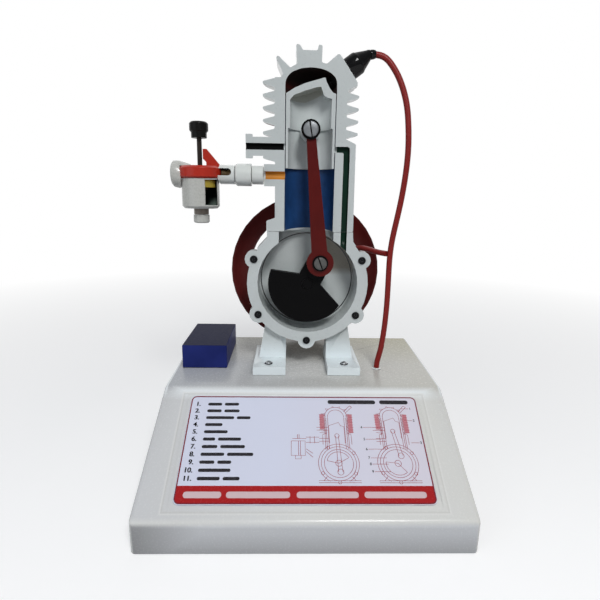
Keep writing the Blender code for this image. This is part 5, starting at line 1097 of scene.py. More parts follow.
def engine_drawing(middle_x, middle_y, lift, crank_turn, carburettor):
    """Lines of a plain sectioned engine about its crank axis, in millimetres. lift moves the piston."""
    lines = [
        circle_points(0, 0, 12.6, 44, -1.1, math.pi + 1.1),
        circle_points(0, 0, 10.9, 44, -1.9, math.pi + 1.9),
        circle_points(0, 0, 9.0), circle_points(0, 0, 2.0, 14),
        [(-12.8, -12.1), (12.8, -12.1)], [(-12.8, -10.9), (12.8, -10.9)],
        [(-9.8, -11), (-7.6, -8.4)], [(9.8, -11), (7.6, -8.4)],
    ]
    for turn in (0.6, 2.1, 3.7, 4.71, 5.7):
        lines.append(circle_points(11.9 * math.cos(turn), 11.9 * math.sin(turn), 1.0, 10))
    for side in (-1, 1):
        for reach in (5.4, 6.6, 7.6):
            lines.append([(side * reach, 10.4 - reach * 0.2), (side * reach, 33.4 - reach * 0.3)])
        fins = []
        for step in range(8):
            height = 20.2 + step * 1.85
            fins += [(side * 7.6, height), (side * 11.2, height + 0.55), (side * 7.6, height + 1.1)]
        lines.append(fins)
        for step in range(14):
            height = 19.6 + step * 1.05
            lines.append([(side * 6.6, height), (side * 7.6, height + 0.7)])
        lines.append([(side * 9.2, 12.4), (side * 9.2, 19.2), (side * 6.6, 20.0)])
    for radius, open_end in ((5.4, 0), (7.4, 0.1)):
        lines.append(circle_points(0, 32.0, radius, 20, open_end, math.pi - open_end))
    for turn in (0.75, 1.25, 1.75, 2.3, 2.85):
        tip = (10.2 * math.cos(turn), 32.0 + 8.4 * math.sin(turn))
        before, after = ((7.4 * math.cos(t), 32.0 + 7.2 * math.sin(t)) for t in (turn - 0.12, turn + 0.12))
        lines.append([before, tip, after])
    lines += [[(5.6, 36.2), (10.0, 40.6)], [(6.8, 35.2), (11.4, 39.6)], [(10.0, 40.6), (11.4, 39.6)]]
    top = 29.0 + lift
    lines.append([
        (-5.0, top - 12.4), (-5.0, top), (1.6, top + 2.4), (2.8, top), (5.0, top - 0.6), (5.0, top - 12.4)])
    pin, wrist = Vector((5.6 * math.sin(crank_turn), 5.6 * math.cos(crank_turn))), Vector((0, top - 7.2))
    lean = (pin - wrist).normalized()
    across = Vector((-lean.y, lean.x))
    lines += [[tuple(wrist + side * 0.9 * across), tuple(pin + side * 1.3 * across)] for side in (-1, 1)]
    lines += [circle_points(*wrist, 1.5, 12), circle_points(*pin, 1.9, 14)]
    start = math.pi * 1.5 - crank_turn - 1.2
    counterweight = circle_points(0, 0, 7.4, 20, start, start + 2.4)
    lines += [counterweight, [(0, 0), counterweight[0]], [(0, 0), counterweight[-1]]]
    for height, reach in ((14.6, 11.6), (16.6, 11.6), (22.4, 13.0), (24.4, 13.0)):
        lines.append([(-5.4, height), (-reach, height)])
    if carburettor:
        left = -29.4
        lines += [
            [(-11.6, 13.8), (-20.0, 13.8)], [(-11.6, 17.4), (-20.0, 17.4)],
            [(-14.6, 13.2), (-14.6, 18.0)], [(-17.4, 13.2), (-17.4, 18.0)],
            [(left, 14.8), (left + 8.8, 14.8), (left + 8.8, 5.0), (left, 5.0), (left, 14.8)],
            [(left + 4.6, 14.8), (left + 4.6, 5.0)], [(left + 5.8, 14.8), (left + 5.8, 5.0)],
            [(left + 2.6, 5.0), (left + 2.6, 2.8), (left + 6.2, 2.8), (left + 6.2, 5.0)],
            [(left + 0.6, 16.4), (left + 9.6, 16.4)],
            [(left + 4.0, 16.4), (left + 4.0, 19.4)], [(left + 5.0, 16.4), (left + 5.0, 19.4)],
            [(left + 9.4, 9.4), (left + 13.6, 6.4)], [(left + 9.4, 7.6), (left + 13.6, 3.8)],
        ]
    return [[(middle_x + x, middle_y + y) for x, y in line] for line in lines]


def line_mesh(name, lines, radius):
    """Thin raised lines on the label as one mesh. The lines are in millimetres."""
    curve = bpy.data.curves.new(name, "CURVE")
    curve.dimensions = "3D"
    curve.bevel_depth = radius
    curve.bevel_resolution = 0
    curve.use_fill_caps = True
    for line in lines:
        spline = curve.splines.new("POLY")
        spline.points.add(len(line) - 1)
        for point, (x, y) in zip(spline.points, line):
            point.co = (x / 1000, y / 1000, -radius * 0.45, 1)
    mesh = curve_mesh(curve)
    mesh.transform(label_matrix())
    mesh.name = name
    return mesh


class ENGINE_OT_label(bpy.types.Operator):
    """Dress the label and print its border, band, numbers, bars and drawings"""
    bl_idname = "engine_model.label"
    bl_label = "Print the label"

    def execute(self, context):
        panel = dress("label_panel", "stand", ["paper"], "label", width=0.00015)
        down = Matrix.Rotation(SLOPE_ANGLE, 3, "X") @ Vector((0, -LABEL_FOOT, 0))
        for vert in panel.data.vertices:
            if vert.co.z < LABEL_MIDDLE.z:
                vert.co += down
        wide, long = LABEL_WIDTH / 2 - BORDER_INSET, LABEL_LENGTH / 2 - BORDER_INSET
        foot = -long - LABEL_FOOT
        band = rounded_box((-wide, foot), (wide, BAND_TOP), CORNER, 8, (1, 1, 0, 0))
        print_piece("label_border", [border_bmesh()], "ink_border")
        print_piece("label_band", [ink_bmesh(band, high=INK_RISE / 2)], "ink_red")
        print_piece("label_band_bars", bars(BAND_BARS, (BAND_TOP + foot) / 2, BAND_BAR_HEIGHT), "ink_pale")
        heights = [ROW_TOP - row * ROW_PITCH for row in range(len(ROW_BARS))]
        rows = [part for ends, height in zip(ROW_BARS, heights) for part in bars(ends, height, BAR_HEIGHT)]
        print_piece("label_bars", rows + bars(HEADER_BARS, HEADER_Y, HEADER_HEIGHT), "ink_dark")
        words = [(f"{row + 1}.", NUMBER_X + (row - 4) * NUMBER_LEAN + shift, height, "RIGHT")
                 for row, height in enumerate(heights) for shift in NUMBER_SHIFTS]
        print_piece("label_numbers", [number_mesh(words, NUMBER_SIZE, NUMBER_WEIGHT)], "ink_dark")
        lines = [line for drawing in DRAWINGS for line in engine_drawing(*drawing)]
        for x, y in LEADERS:
            lines.append([(x - 3.2, y), (x + 2.0, y)] if x > PARTING_X else [(x - 2.0, y), (x + 8.0, y)])
        blocks = []
        for x, y, *_ in DRAWINGS:
            for low_x, high_x, low_y in WALLS:
                low = ((x + low_x) / 1000, (y + low_y) / 1000)
                high = ((x + high_x) / 1000, (y + WALL_TOP) / 1000)
                blocks.append(ink_bmesh(rounded_box(low, high, 0.0003, 2)))
        print_piece("label_blocks", blocks, "ink_tone")
        drawn = line_mesh("label_drawings", lines, DRAWING_LINE)
        add_piece("label_drawings", drawn, "stand", [LOOKS["ink_line"]], ())
        marks = [(str(number), x / 1000 + (0.0030 if x > PARTING_X else -0.0030), y / 1000, "CENTER")
                 for number, (x, y) in enumerate(LEADERS, 1)]
        print_piece("label_marks", [number_mesh(marks, MARK_SIZE, MARK_WEIGHT)], "ink_dark")
        return {"FINISHED"}


# Castings

def in_tube(point, radius, z, low_x, high_x):
    """If a point is in a level tube along X, its wall included."""
    return math.hypot(point.y, point.z - z) < radius + TOUCH and low_x < point.x < high_x


def is_section(point, normal):
    """If a face lies on the section plane and faces the front."""
    return abs(point.y) < TOUCH and normal.y < -0.99


def in_passage(point, left, below, above):
    """If a point is in the transfer passage, right of a place and between two heights."""
    right = TRANSFER_X + TRANSFER_WIDTH + TOUCH
    return left < point.x < right and -TOUCH < point.y < TRANSFER_DEPTH + TOUCH and below < point.z < above


def cylinder_paint(point, normal):
    """0 enamel, 1 bore, 2 dome, 3 exhaust, 4 inlet, 5 transfer."""
    if is_section(point, normal):
        return 0
    axis = Matrix.Rotation(PLUG_LEAN, 3, "Y") @ Vector((0, 0, 1))
    from_seat = point - PLUG_SEAT
    along = from_seat.dot(axis)
    if (from_seat - axis * along).length < PLUG_THREAD_RADIUS + 2 * GAP and along < 0:
        return 2
    if math.hypot(point.x, point.y) < BORE_RADIUS + TOUCH:
        if SPRING_Z - TOUCH < point.z < SPRING_Z + DOME_RISE + 0.0005:
            return 2
        if JOINT_Z < point.z <= SPRING_Z:
            return 1
    wall = -BORE_RADIUS + BURY
    if in_tube(point, EXHAUST_PORT_RADIUS, EXHAUST_Z, -EXHAUST_END_X - TOUCH, wall):
        return 3
    if in_tube(point, INLET_PORT_RADIUS, INLET_Z, -INLET_END_X - TOUCH, wall):
        return 4
    return 5 if in_passage(point, 0.0160, JOINT_Z, TRANSFER_TOP_Z + TOUCH) else 0


def crankcase_paint(point, normal):
    """0 enamel, 1 transfer, 2 the neck's inner wall, in a lighter enamel that is painted light."""
    if is_section(point, normal):
        return 0
    if point.z > 0.020 and point.y > 0 and math.hypot(point.x, point.y) < 0.0222:
        return 2
    inside = point.y > 0 and in_passage(point, TRANSFER_X - TOUCH, 0.0185, JOINT_Z)
    return int(inside and (abs(normal.x) > 0.9 or normal.y < -0.9))


FIN_TIP_RADIUS = 0.0327
FIN_ROOT_RADIUS = 0.0246
FIN_PITCH = 0.0080
FIN_FIRST_Z = 0.0896
FIN_COUNT = 7
FIN_ROOT_HALF = 0.0029
FIN_TIP_HALF = 0.0008
BARREL_RADIUS = 0.0243
BARREL_TOP_Z = 0.1410
LOWER_FLANGE_RADIUS = 0.0304
LOWER_FLANGE_HEIGHT = 0.0072
LOWER_FLANGE_CHAMFER = 0.0022
HEAD_HEIGHT = 0.0254
HEAD_DEPTH = 0.024
DOME_POWER = 0.8
EXHAUST_RADIUS = 0.0063
EXHAUST_FLANGE_RADIUS = 0.0081
EXHAUST_FLANGE_THICKNESS = 0.0048
EXHAUST_END_X = 0.0446
INLET_RADIUS = 0.0075
INLET_END_X = 0.0320
TRANSFER_PORT_HEIGHT = 0.0040
TRANSFER_BLOCK_DEPTH = 0.016
TRANSFER_BLOCK_TOP_Z = 0.1024
TRANSFER_BLOCK_CHAMFER = 0.0032
NECK_RIGHT_OUTER = 0.0322
PLUG_THREAD_RADIUS = 0.0042
# The head's outline, in shares of the fins' radius and of the head's height
HEAD_OUTLINE = (
    (-0.75, -0.45), (-0.75, 0.175), (-0.625, 0.205), (-0.58, 0.27), (-0.727, 0.66), (-0.715, 0.70),
    (-0.675, 0.71), (-0.437, 0.435), (-0.30, 0.53), (-0.323, 0.97), (-0.30, 1.0), (-0.245, 0.985),
    (-0.18, 0.86), (0.11, 0.86), (0.135, 0.985), (0.165, 1.0), (0.215, 0.97), (0.207, 0.575),
    (0.31, 0.545), (0.535, 0.785), (0.585, 0.765), (0.93, 0.155), (0.955, 0.09), (0.93, 0.01),
    (0.77, -0.085), (0.75, -0.45),
)
SEAT_CORNER = HEAD_OUTLINE[22]


def plug_frame():
    """The plug's seat in the engine's frame, with Z along the plug."""
    return Matrix.Translation(PLUG_SEAT) @ Matrix.Rotation(PLUG_LEAN, 4, "Y")


def cylinder_bmesh():
    """The finned half barrel with rounded fins, its head, its stubs and the channels cut into the section."""
    foot = JOINT_Z + GAP
    points = [(0, BARREL_TOP_Z), (BARREL_RADIUS, BARREL_TOP_Z)]
    for number in reversed(range(FIN_COUNT)):
        middle = FIN_FIRST_Z + number * FIN_PITCH
        points += [
            (FIN_ROOT_RADIUS, middle + FIN_ROOT_HALF), (FIN_TIP_RADIUS, middle + FIN_TIP_HALF),
            (FIN_TIP_RADIUS, middle - FIN_TIP_HALF), (FIN_ROOT_RADIUS, middle - FIN_ROOT_HALF),
        ]
    flange_top = foot + LOWER_FLANGE_HEIGHT
    points += [
        (BARREL_RADIUS, FIN_FIRST_Z - FIN_ROOT_HALF - BURY),
        (BARREL_RADIUS, flange_top + LOWER_FLANGE_CHAMFER),
        (LOWER_FLANGE_RADIUS, flange_top), (LOWER_FLANGE_RADIUS, foot), (0, foot),
    ]
    block = turned_bmesh(rounded_corners(points, 0.0011, 3, closed=False), 96)
    outline = [(x * FIN_TIP_RADIUS, SPRING_Z + z * HEAD_HEIGHT) for x, z in HEAD_OUTLINE]
    head = plate_bmesh(rounded_corners(outline, 0.0012, 4), -HEAD_DEPTH, HEAD_DEPTH)
    above = SPRING_Z + 2 * HEAD_HEIGHT
    head = combined(head, [("INTERSECT", bar_bmesh(FIN_TIP_RADIUS, (0, 0, foot), (0, 0, above), 96))])
    side_top = TRANSFER_BLOCK_TOP_Z - TRANSFER_BLOCK_CHAMFER
    side = rounded_corners([
        (0, foot), (NECK_RIGHT_OUTER, foot), (NECK_RIGHT_OUTER - BURY / 2, side_top),
        (FIN_ROOT_RADIUS, TRANSFER_BLOCK_TOP_Z), (0, TRANSFER_BLOCK_TOP_Z),
    ], 0.0012)
    inner = BORE_RADIUS + BURY
    dome = [(BORE_RADIUS * math.sin(t), SPRING_Z + DOME_RISE * math.cos(t) ** DOME_POWER)
            for t in (math.pi / 32 * step for step in range(16))]
    bore = dome + [(BORE_RADIUS, SPRING_Z), (BORE_RADIUS, foot - OVERRUN), (0, foot - OVERRUN)]
    outside = -EXHAUST_END_X - OVERRUN
    right = TRANSFER_X + TRANSFER_WIDTH
    low = TRANSFER_TOP_Z - TRANSFER_PORT_HEIGHT
    turn = TRANSFER_WIDTH / 2
    passage = [(0, TRANSFER_TOP_Z), (0, low), (TRANSFER_X - 0.0008, low), (TRANSFER_X, low - 0.0008),
               (TRANSFER_X, foot - OVERRUN), (right, foot - OVERRUN)]
    passage += arc((right - turn, TRANSFER_TOP_Z - turn), turn, 0, math.pi / 2, 8)
    hole_ends = (plug_frame() @ Vector((0, 0, height)) for height in (OVERRUN, -BORE_RADIUS))
    hole = bar_bmesh(PLUG_THREAD_RADIUS + GAP, *hole_ends, 32)
    flange_inner = EXHAUST_FLANGE_THICKNESS - EXHAUST_END_X
    flange = rounded_corners([
        (0, flange_inner), (EXHAUST_FLANGE_RADIUS, flange_inner), (EXHAUST_FLANGE_RADIUS, -EXHAUST_END_X),
        (0, -EXHAUST_END_X)], 0.0004, 2, closed=False)
    level = Matrix.Translation((0, 0, EXHAUST_Z)) @ Matrix.Rotation(math.pi / 2, 4, "Y")
    flange = turned_bmesh(flange, 64, level)
    stub, inlet = EXHAUST_END_X - BURY, INLET_END_X
    reach = EXHAUST_END_X + HEAD_HEIGHT
    flank = NECK_RIGHT_OUTER + GAP / 6
    flush = [(flank, foot + LOWER_FLANGE_HEIGHT / 2), (flank - BURY / 2, side_top), (reach, side_top),
             (reach, foot + LOWER_FLANGE_HEIGHT / 2)]
    trim = (SEAT_CORNER[0] * FIN_TIP_RADIUS, -reach, SPRING_Z - FIN_ROOT_HALF)
    return combined(block, [
        ("UNION", head),
        ("UNION", plate_bmesh(side, -TRANSFER_BLOCK_DEPTH, TRANSFER_BLOCK_DEPTH)),
        ("UNION", bar_bmesh(EXHAUST_RADIUS, (-stub, 0, EXHAUST_Z), (-inner, 0, EXHAUST_Z), 64)),
        ("UNION", flange),
        ("UNION", bar_bmesh(INLET_RADIUS, (-inlet, 0, INLET_Z), (-inner, 0, INLET_Z), 64)),
        ("DIFFERENCE", turned_bmesh(bore, 96)),
        ("DIFFERENCE", bar_bmesh(EXHAUST_PORT_RADIUS, (outside, 0, EXHAUST_Z), (0, 0, EXHAUST_Z), 32)),
        ("DIFFERENCE", bar_bmesh(INLET_PORT_RADIUS, (outside, 0, INLET_Z), (0, 0, INLET_Z), 32)),
        ("DIFFERENCE", plate_bmesh(passage, -OVERRUN, TRANSFER_DEPTH)),
        ("DIFFERENCE", hole),
        ("DIFFERENCE", plate_bmesh(flush, -OVERRUN, TRANSFER_BLOCK_DEPTH - 0.0012)),
        ("DIFFERENCE", box_bmesh(trim, (reach, reach, above))),
        ("DIFFERENCE", box_bmesh((-reach, -reach, 0), (reach, 0, above))),
    ])


def painted_piece(node, bm, paint, body, looks):
    """A piece in the engine's frame whose faces take their finish from their place."""
    bmesh.ops.remove_doubles(bm, verts=bm.verts, dist=1e-6)
    bmesh.ops.recalc_face_normals(bm, faces=bm.faces)
    for face in bm.faces:
        face.material_index = paint(face.calc_center_median(), face.normal)
    bm.transform(Matrix.Translation(ENGINE))
    made = add_solid(node, bm, body, looks, 30)
    round_edges(made, 0)
    return made


class ENGINE_OT_castings(bpy.types.Operator):
    """Dress the crankcase, its cover and bush, the finned cylinder and the spark plug"""
    bl_idname = "engine_model.castings"
    bl_label = "Dress the castings"

    def execute(self, context):
        rounding = settings("engine_parts").rounding
        paints = ("enamel", "bore", "dome", "exhaust", "inlet", "transfer")
        painted_piece("cylinder_block", cylinder_bmesh(), cylinder_paint, "stand", paints)
        case = dress("crankcase_body", "stand", ["enamel", "transfer", "neck"], "white_casting", 0,
                     paint=crankcase_paint, sharp_angle=30)
        for vert in case.data.vertices:
            if abs(vert.co.y - ENGINE.y) < TOUCH:
                vert.co.y = ENGINE.y
        case.data.update()
        for face in case.data.polygons:
            if is_section(face.center - ENGINE, face.normal):
                face.use_smooth = False
        dress_each("stand", (
            ("crankcase_cover", "cover", "white_casting", rounding),
            ("main_bearing_bush", "brass", "brass", 0.0002),
            ("spark_plug", "soot", "steel", 0.0002),
        ))
        seat = Matrix.Translation(ENGINE) @ plug_frame()
        tip = BOOT_LENGTH - BOOT_TIP_RADIUS
        profile = [(BOOT_TIP_RADIUS * math.sin(t), tip + BOOT_TIP_RADIUS * math.cos(t))
                   for t in (math.pi / 16 * step for step in range(8))]
        profile += [
            (0.0035, tip - 0.0004), (0.0046, tip - 0.0028), (0.0056, tip - 0.0050), (0.0063, tip - 0.0066),
            (0.0068, tip - 0.0076), (0.0073, tip - 0.0083), (BOOT_RADIUS, tip - 0.0092),
            (BOOT_RADIUS, 0.0012), (0.0072, 0.0004), (0.0067, GAP),
            (0.0037, GAP), (0.0037, 0.0093), (0, 0.0093),
        ]
        along, leaves = lead_exit()
        rest = along.to_track_quat("Z", "Y").to_matrix().to_4x4()
        collar = [
            (0, 0.0016), (0.0023, 0.0016), (0.0026, 0.0013), (0.0030, 0.0), (0.0031, -0.0018), (0, -0.0018),
        ]
        boot = merge(turned_bmesh(profile, 48, seat),
                     turned_bmesh(collar, 32, Matrix.Translation(seat @ leaves) @ rest))
        add_solid("spark_plug_boot", boot, "stand", ["rubber"])
        return {"FINISHED"}


class ENGINE_OT_screws(bpy.types.Operator):
    """Make the screws of the crankcase and of its feet"""
    bl_idname = "engine_model.screws"
    bl_label = "Make the holding screws"

    def execute(self, context):
        for number in range(1, 6):
            name = f"crankcase_screw_{number}"
            middle = node_middle(name) - ENGINE
            seat = facing_front(middle.x, middle.z, -GAP, 0.5 * number)
            screw = cross_screw(0.0028, 0.0011, 0.0055, seat)
            add_solid(name, screw, "stand", ["black_screw"])
        for number in range(1, 5):
            name = f"foot_screw_{number}"
            middle = node_middle(name)
            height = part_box(name)[1][2] - 0.0016
            seat = Matrix.Translation((middle.x, middle.y, height)) @ Matrix.Rotation(0.4 * number, 4, "Z")
            screw = cross_screw(0.0024, 0.0018, 0.014, seat, dome=0.8)
            # A thin dark ring under the head, painted shade round the screw.
            profile = [(0, 0.0003), (0.0027, 0.0003), (0.0030, 0.0001), (0.0030, 0), (0, 0)]
            ring = turned_bmesh(profile, SCREW_SIDES, seat)
            for face in ring.faces:
                face.material_index = 1
            add_solid(name, merge(screw, ring), "stand", ["steel", "soot"])
        return {"FINISHED"}


# Moving parts

def piston_paint(point, normal):
    """0 section, 1 the rest."""
    return int(not is_section(point, normal))


class ENGINE_OT_crank_train(bpy.types.Operator):
    """Dress the piston, the rod, the crank with its pins, and the flywheel"""
    bl_idname = "engine_model.crank_train"
    bl_label = "Dress the crank train"

    def execute(self, context):
        dress("piston", "piston", ["enamel", "piston"], "white_casting", paint=piston_paint)
        dress_each("piston", (
            ("wrist_pin", "steel", "steel", 0.0002), ("wrist_washer", "black_metal", "black_metal", 0.0002),
        ))
        slot_screw("wrist_screw", "piston", 0.18, "screw")
        dress_each("rod", (
            ("connecting_rod", "rod", "dark_red", 0.0007, 3), ("big_end_sleeve", "brass", "brass", 0.0002),
            ("crank_pin_washer", "black_metal", "black_metal", 0.0002),
        ))
        slot_screw("crank_pin_screw", "rod", 0.35, "dark_screw")
        dress("crank_web", "crank", ["black_metal"], "black_metal", 0.0004)
        dress("crankshaft", "crank", ["dark_steel", "black_metal"], "steel",
              paint=lambda point, normal: int(normal.y < -0.9))
        dress_each("crank", (
            ("contact_cam", "steel", "steel", 0.0002), ("flywheel", "wheel", "maroon_metal", 0),
            ("flywheel_washer", "steel", "steel", 0.0002), ("flywheel_nut", "steel", "steel", 0.0004),
        ))
        return {"FINISHED"}


class ENGINE_OT_contact_breaker(bpy.types.Operator):
    """Dress the contact block and its spring blade"""
    bl_idname = "engine_model.contact_breaker"
    bl_label = "Dress the contact breaker"

    def execute(self, context):
        dress_each("stand", (
            ("contact_block", "knob", "black_plastic", 0.0005, 3),
            ("contact_blade", "brass", "brass", 0.0001),
        ))
        return {"FINISHED"}


def bowl_paint(point, normal):
    """0 outside and rim, 1 inside, 2 floor, in a lighter finish that is painted light."""
    across = math.hypot(point.x - CARBURETTOR_X, point.y)
    inward = (point.x - CARBURETTOR_X) * normal.x + point.y * normal.y < -0.002
    if normal.z > 0.9 and across < 0.0115 and point.z < 0.070:
        return 2
    return int(across < 0.0117 and inward)


HORN_FOOT_RADIUS = 0.0146
CAP_CORE_RADIUS = 0.010


def from_carburettor(vert):
    """A vertex's offsets in X and Y from the carburettor's upright axis."""
    return vert.co.x - ENGINE.x - CARBURETTOR_X, vert.co.y - ENGINE.y


class ENGINE_OT_carburettor(bpy.types.Operator):
    """Dress the carburettor, its float, its jet and the throttle"""
    bl_idname = "engine_model.carburettor"
    bl_label = "Dress the carburettor"

    def execute(self, context):
        # The pipe, nut and tube take the white plastic painted lighter, as painted light.
        dress_each("stand", (
            ("inlet_pipe", "pale_plastic", "white_plastic", 0.0003),
            ("union_nut", "pale_plastic", "white_plastic", 0.0005),
            ("venturi_tube", "pale_plastic", "white_plastic", 0.0003),
        ))
        top = ENGINE.z + INLET_Z + CAP_TOP
        horn = dress("air_horn", "stand", ["white_plastic"], "white_plastic", 0.0006)
        for vert in horn.data.vertices:
            if math.hypot(*from_carburettor(vert)) < HORN_FOOT_RADIUS and vert.co.z < top + 2 * GAP:
                vert.co.z -= CAP_SAG + GAP
        dress_each("stand", (
            ("drain_cap", "white_plastic", "white_plastic", 0.0003),
            # the drain's neck in painted shade
            ("drain_neck", "drain", "white_plastic", 0.0002),
        ))
        dress("float_bowl", "stand", ["white_plastic", "bowl_inside", "bowl_floor"], "white_plastic",
              paint=bowl_paint)
        cap = dress("carburettor_cap", "stand", ["cap"], "bright_red", 0.0004, 3)
        for vert in cap.data.vertices:
            x, y = from_carburettor(vert)
            if math.hypot(x, y) > CAP_CORE_RADIUS and vert.co.z < top + TOUCH:
                vert.co.x += CAP_SWELL * x
                vert.co.y += CAP_SWELL * y
                if vert.co.z > top - 0.0005:
                    vert.co.z -= CAP_SAG
        dress_each("stand", (
            ("carburettor_float", "float", "yellow_plastic", 0.0003),
            ("main_jet", "dull_brass", "brass", 0.0002),
            ("venturi_nozzle", "dull_brass", "brass", 0.0002),
        ))
        dress_each("throttle", (
            ("throttle_stem", "stem", "black_metal", 0.0001),
            ("throttle_knob", "knob", "black_plastic", 0.0003),
        ))
        return {"FINISHED"}


# Leads

LEAD_LEAVES = math.radians(6)  # above level, where it leaves the boot
# Routes of the leads in the engine's frame, as in the part's source
LEAD_ROUTE = (
    (0.0492, 0.0073, 0.1573), (0.0535, 0.0065, 0.1533), (0.0582, 0.0058, 0.1468), (0.0610, 0.0052, 0.1415),
    (0.0635, 0.0046, 0.1355), (0.0655, 0.0040, 0.1290), (0.0669, 0.0033, 0.1222), (0.0681, 0.0024, 0.1110),
    (0.0687, 0.0016, 0.0990), (0.0684, 0.0009, 0.0870), (0.0674, 0.0006, 0.0745), (0.0657, 0.0004, 0.0610),
    (0.0635, 0.0004, 0.0475), (0.0613, 0.0004, 0.0345), (0.0602, 0.0004, 0.0225), (0.0601, 0.0004, 0.0090),
    (0.0602, 0.0004, -0.0050), (0.0600, 0.0004, -0.0200), (0.0590, 0.0004, -0.0370),
    (0.0572, 0.0004, -0.0520),
)
LEAD_FOOT = (0.0550, 0.0004, 0.0012 - CRANK_RISE)
BRANCH_ROUTE = (
    (0.0579, 0.0018, 0.0232), (0.0562, 0.0042, 0.0232), (0.0534, 0.0090, 0.0232), (0.0500, 0.0150, 0.0236),
    (0.0466, 0.0207, 0.0243), (0.0431, 0.0262, 0.0247), (0.0402, 0.0312, 0.0238), (0.0388, 0.0360, 0.0210),
    (0.0386, 0.0400, 0.0140), (0.0372, 0.0416, 0.0060), (0.0335, 0.0416, 0.0006),
)
BRANCH_END = (0.0243, 0.0416, 0)


def lead_exit():
    """The way the lead leaves the boot, and the place in the boot's frame where it starts."""
    along = Vector((math.cos(LEAD_LEAVES), 0, math.sin(LEAD_LEAVES)))
    lean = Matrix.Rotation(-PLUG_LEAN, 3, "Y")
    start = Vector((0, 0, BOOT_LENGTH - BOOT_TIP_RADIUS)) + lean @ along * (BOOT_TIP_RADIUS + GAP)
    return along, start


def smooth_points(route, spacing):
    """Points about one spacing apart along the smooth curve through a route."""
    knots = [Vector(point) for point in route]
    knots = [2 * knots[0] - knots[1]] + knots + [2 * knots[-1] - knots[-2]]
    points = []
    for a, b, c, d in zip(knots, knots[1:], knots[2:], knots[3:]):
        steps = max(1, round((c - b).length / spacing))
        for step in range(steps):
            t = step / steps
            square, cube = 2 * a - 5 * b + 4 * c - d, 3 * b - a - 3 * c + d
            points.append((2 * b + (c - a) * t + square * t**2 + cube * t**3) / 2)
    return points + [knots[-2]]


def evened(points, rounds):
    """The points with each one between the ends drawn towards its neighbours, round after round."""
    for _ in range(rounds):
        inner = [(a + 2 * b + c) / 4 for a, b, c in zip(points, points[1:], points[2:])]
        points = points[:1] + inner + points[-1:]
    return points


def lead_piece(name, route, rounds):
    """A round lead along a route with even bends, the place where it starts, and its length."""
    points = [ENGINE + point for point in evened(smooth_points(route, LEAD_RADIUS), rounds)]
    curve = bpy.data.curves.new(name, "CURVE")
    curve.dimensions = "3D"
    curve.bevel_depth = LEAD_RADIUS
    curve.bevel_resolution = 5
    curve.use_fill_caps = True
    spline = curve.splines.new("POLY")
    spline.points.add(len(points) - 1)
    spline.use_smooth = True
    for point, place in zip(spline.points, points):
        point.co = (*place, 1)
    curve.materials.append(LOOKS["lead"])
    made = bpy.data.objects.new(f"{name}_dressed", curve)
    bpy.context.scene.collection.objects.link(made)
    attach(made, "stand")
    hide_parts(name)
    length = sum((b - a).length for a, b in zip(points, points[1:]))
    return made, points[0], length


class ENGINE_OT_leads(bpy.types.Operator):
    """Lay the red lead and its branch"""
    bl_idname = "engine_model.leads"
    bl_label = "Lay the leads"

    def execute(self, context):
        along, start = lead_exit()
        start = plug_frame() @ start
        beyond = start + along * LEAD_RADIUS
        above = Vector(LEAD_FOOT) + Vector((0, 0, 2 * LEAD_RADIUS))
        lead, leaves, length = lead_piece("ignition_lead", (start, beyond, *LEAD_ROUTE, above, LEAD_FOOT), 4)
        before = Vector(BRANCH_END) + Vector((2 * LEAD_RADIUS, 0, 0))
        branch, leaves, length = lead_piece("branch_lead", (*BRANCH_ROUTE, before, BRANCH_END), 8)
        return {"FINISHED"}


# Camera, as measured from the photograph's frame
CAMERA_PLACE = Vector((-0.010835, -0.31753, 0.200546))
CAMERA_PITCH = 0.233
CAMERA_YAW = 0.024
CAMERA_ROLL = 0.016
CAMERA_LENS = 27.12
CAMERA_SENSOR = 36
LAMP_TARGET = (0, 0.01, 0.14)
# Each lamp's name, place, size, colour and the setting that holds its power
LAMPS = (
    ("key_lamp", (0.175, -0.735, 0.83), (0.26, 0.26), (1, 1, 1), "key"),
    ("fill_lamp", (-0.75, -0.65, 0.45), (0.7, 0.7), (0.90, 0.94, 1.0), "fill"),
    ("back_lamp", (0.1, 0.85, 0.65), (0.8, 0.5), (1, 1, 1), "back"),
)
FLOOR_RADIUS = 2.2
FLOOR_Z = -0.0002
FADE_START = 0.22  # the floor turns white between these distances from the middle
FADE_END = 0.9
FLOOR_GLOW = 0.30


def add_camera():
    """The camera that the photograph's frame gives."""
    reach = math.cos(CAMERA_PITCH)
    forward = Vector((math.sin(CAMERA_YAW) * reach, math.cos(CAMERA_YAW) * reach, -math.sin(CAMERA_PITCH)))
    level = Vector((math.cos(CAMERA_YAW), -math.sin(CAMERA_YAW), 0))
    upright = level.cross(forward)
    right = level * math.cos(CAMERA_ROLL) + upright * math.sin(CAMERA_ROLL)
    up = upright * math.cos(CAMERA_ROLL) - level * math.sin(CAMERA_ROLL)
    data = bpy.data.cameras.new("camera")
    data.lens = CAMERA_LENS
    data.sensor_width = CAMERA_SENSOR
    data.clip_start = 0.01
    camera = bpy.data.objects.new("camera", data)
    turn = Matrix((right, up, -forward)).transposed().to_4x4()
    camera.matrix_world = Matrix.Translation(CAMERA_PLACE) @ turn
    bpy.context.scene.collection.objects.link(camera)
    bpy.context.scene.camera = camera


def add_lamp(name, place, size, colour, power):
    """A rectangular lamp that shines at the model."""
    data = bpy.data.lights.new(name, "AREA")
    data.shape = "RECTANGLE"
    data.size, data.size_y = size
    data.energy = power
    data.color = colour
    lamp = bpy.data.objects.new(name, data)
    lamp.location = place
    lamp.rotation_euler = (Vector(LAMP_TARGET) - Vector(place)).to_track_quat("-Z", "Y").to_euler()
    bpy.context.scene.collection.objects.link(lamp)


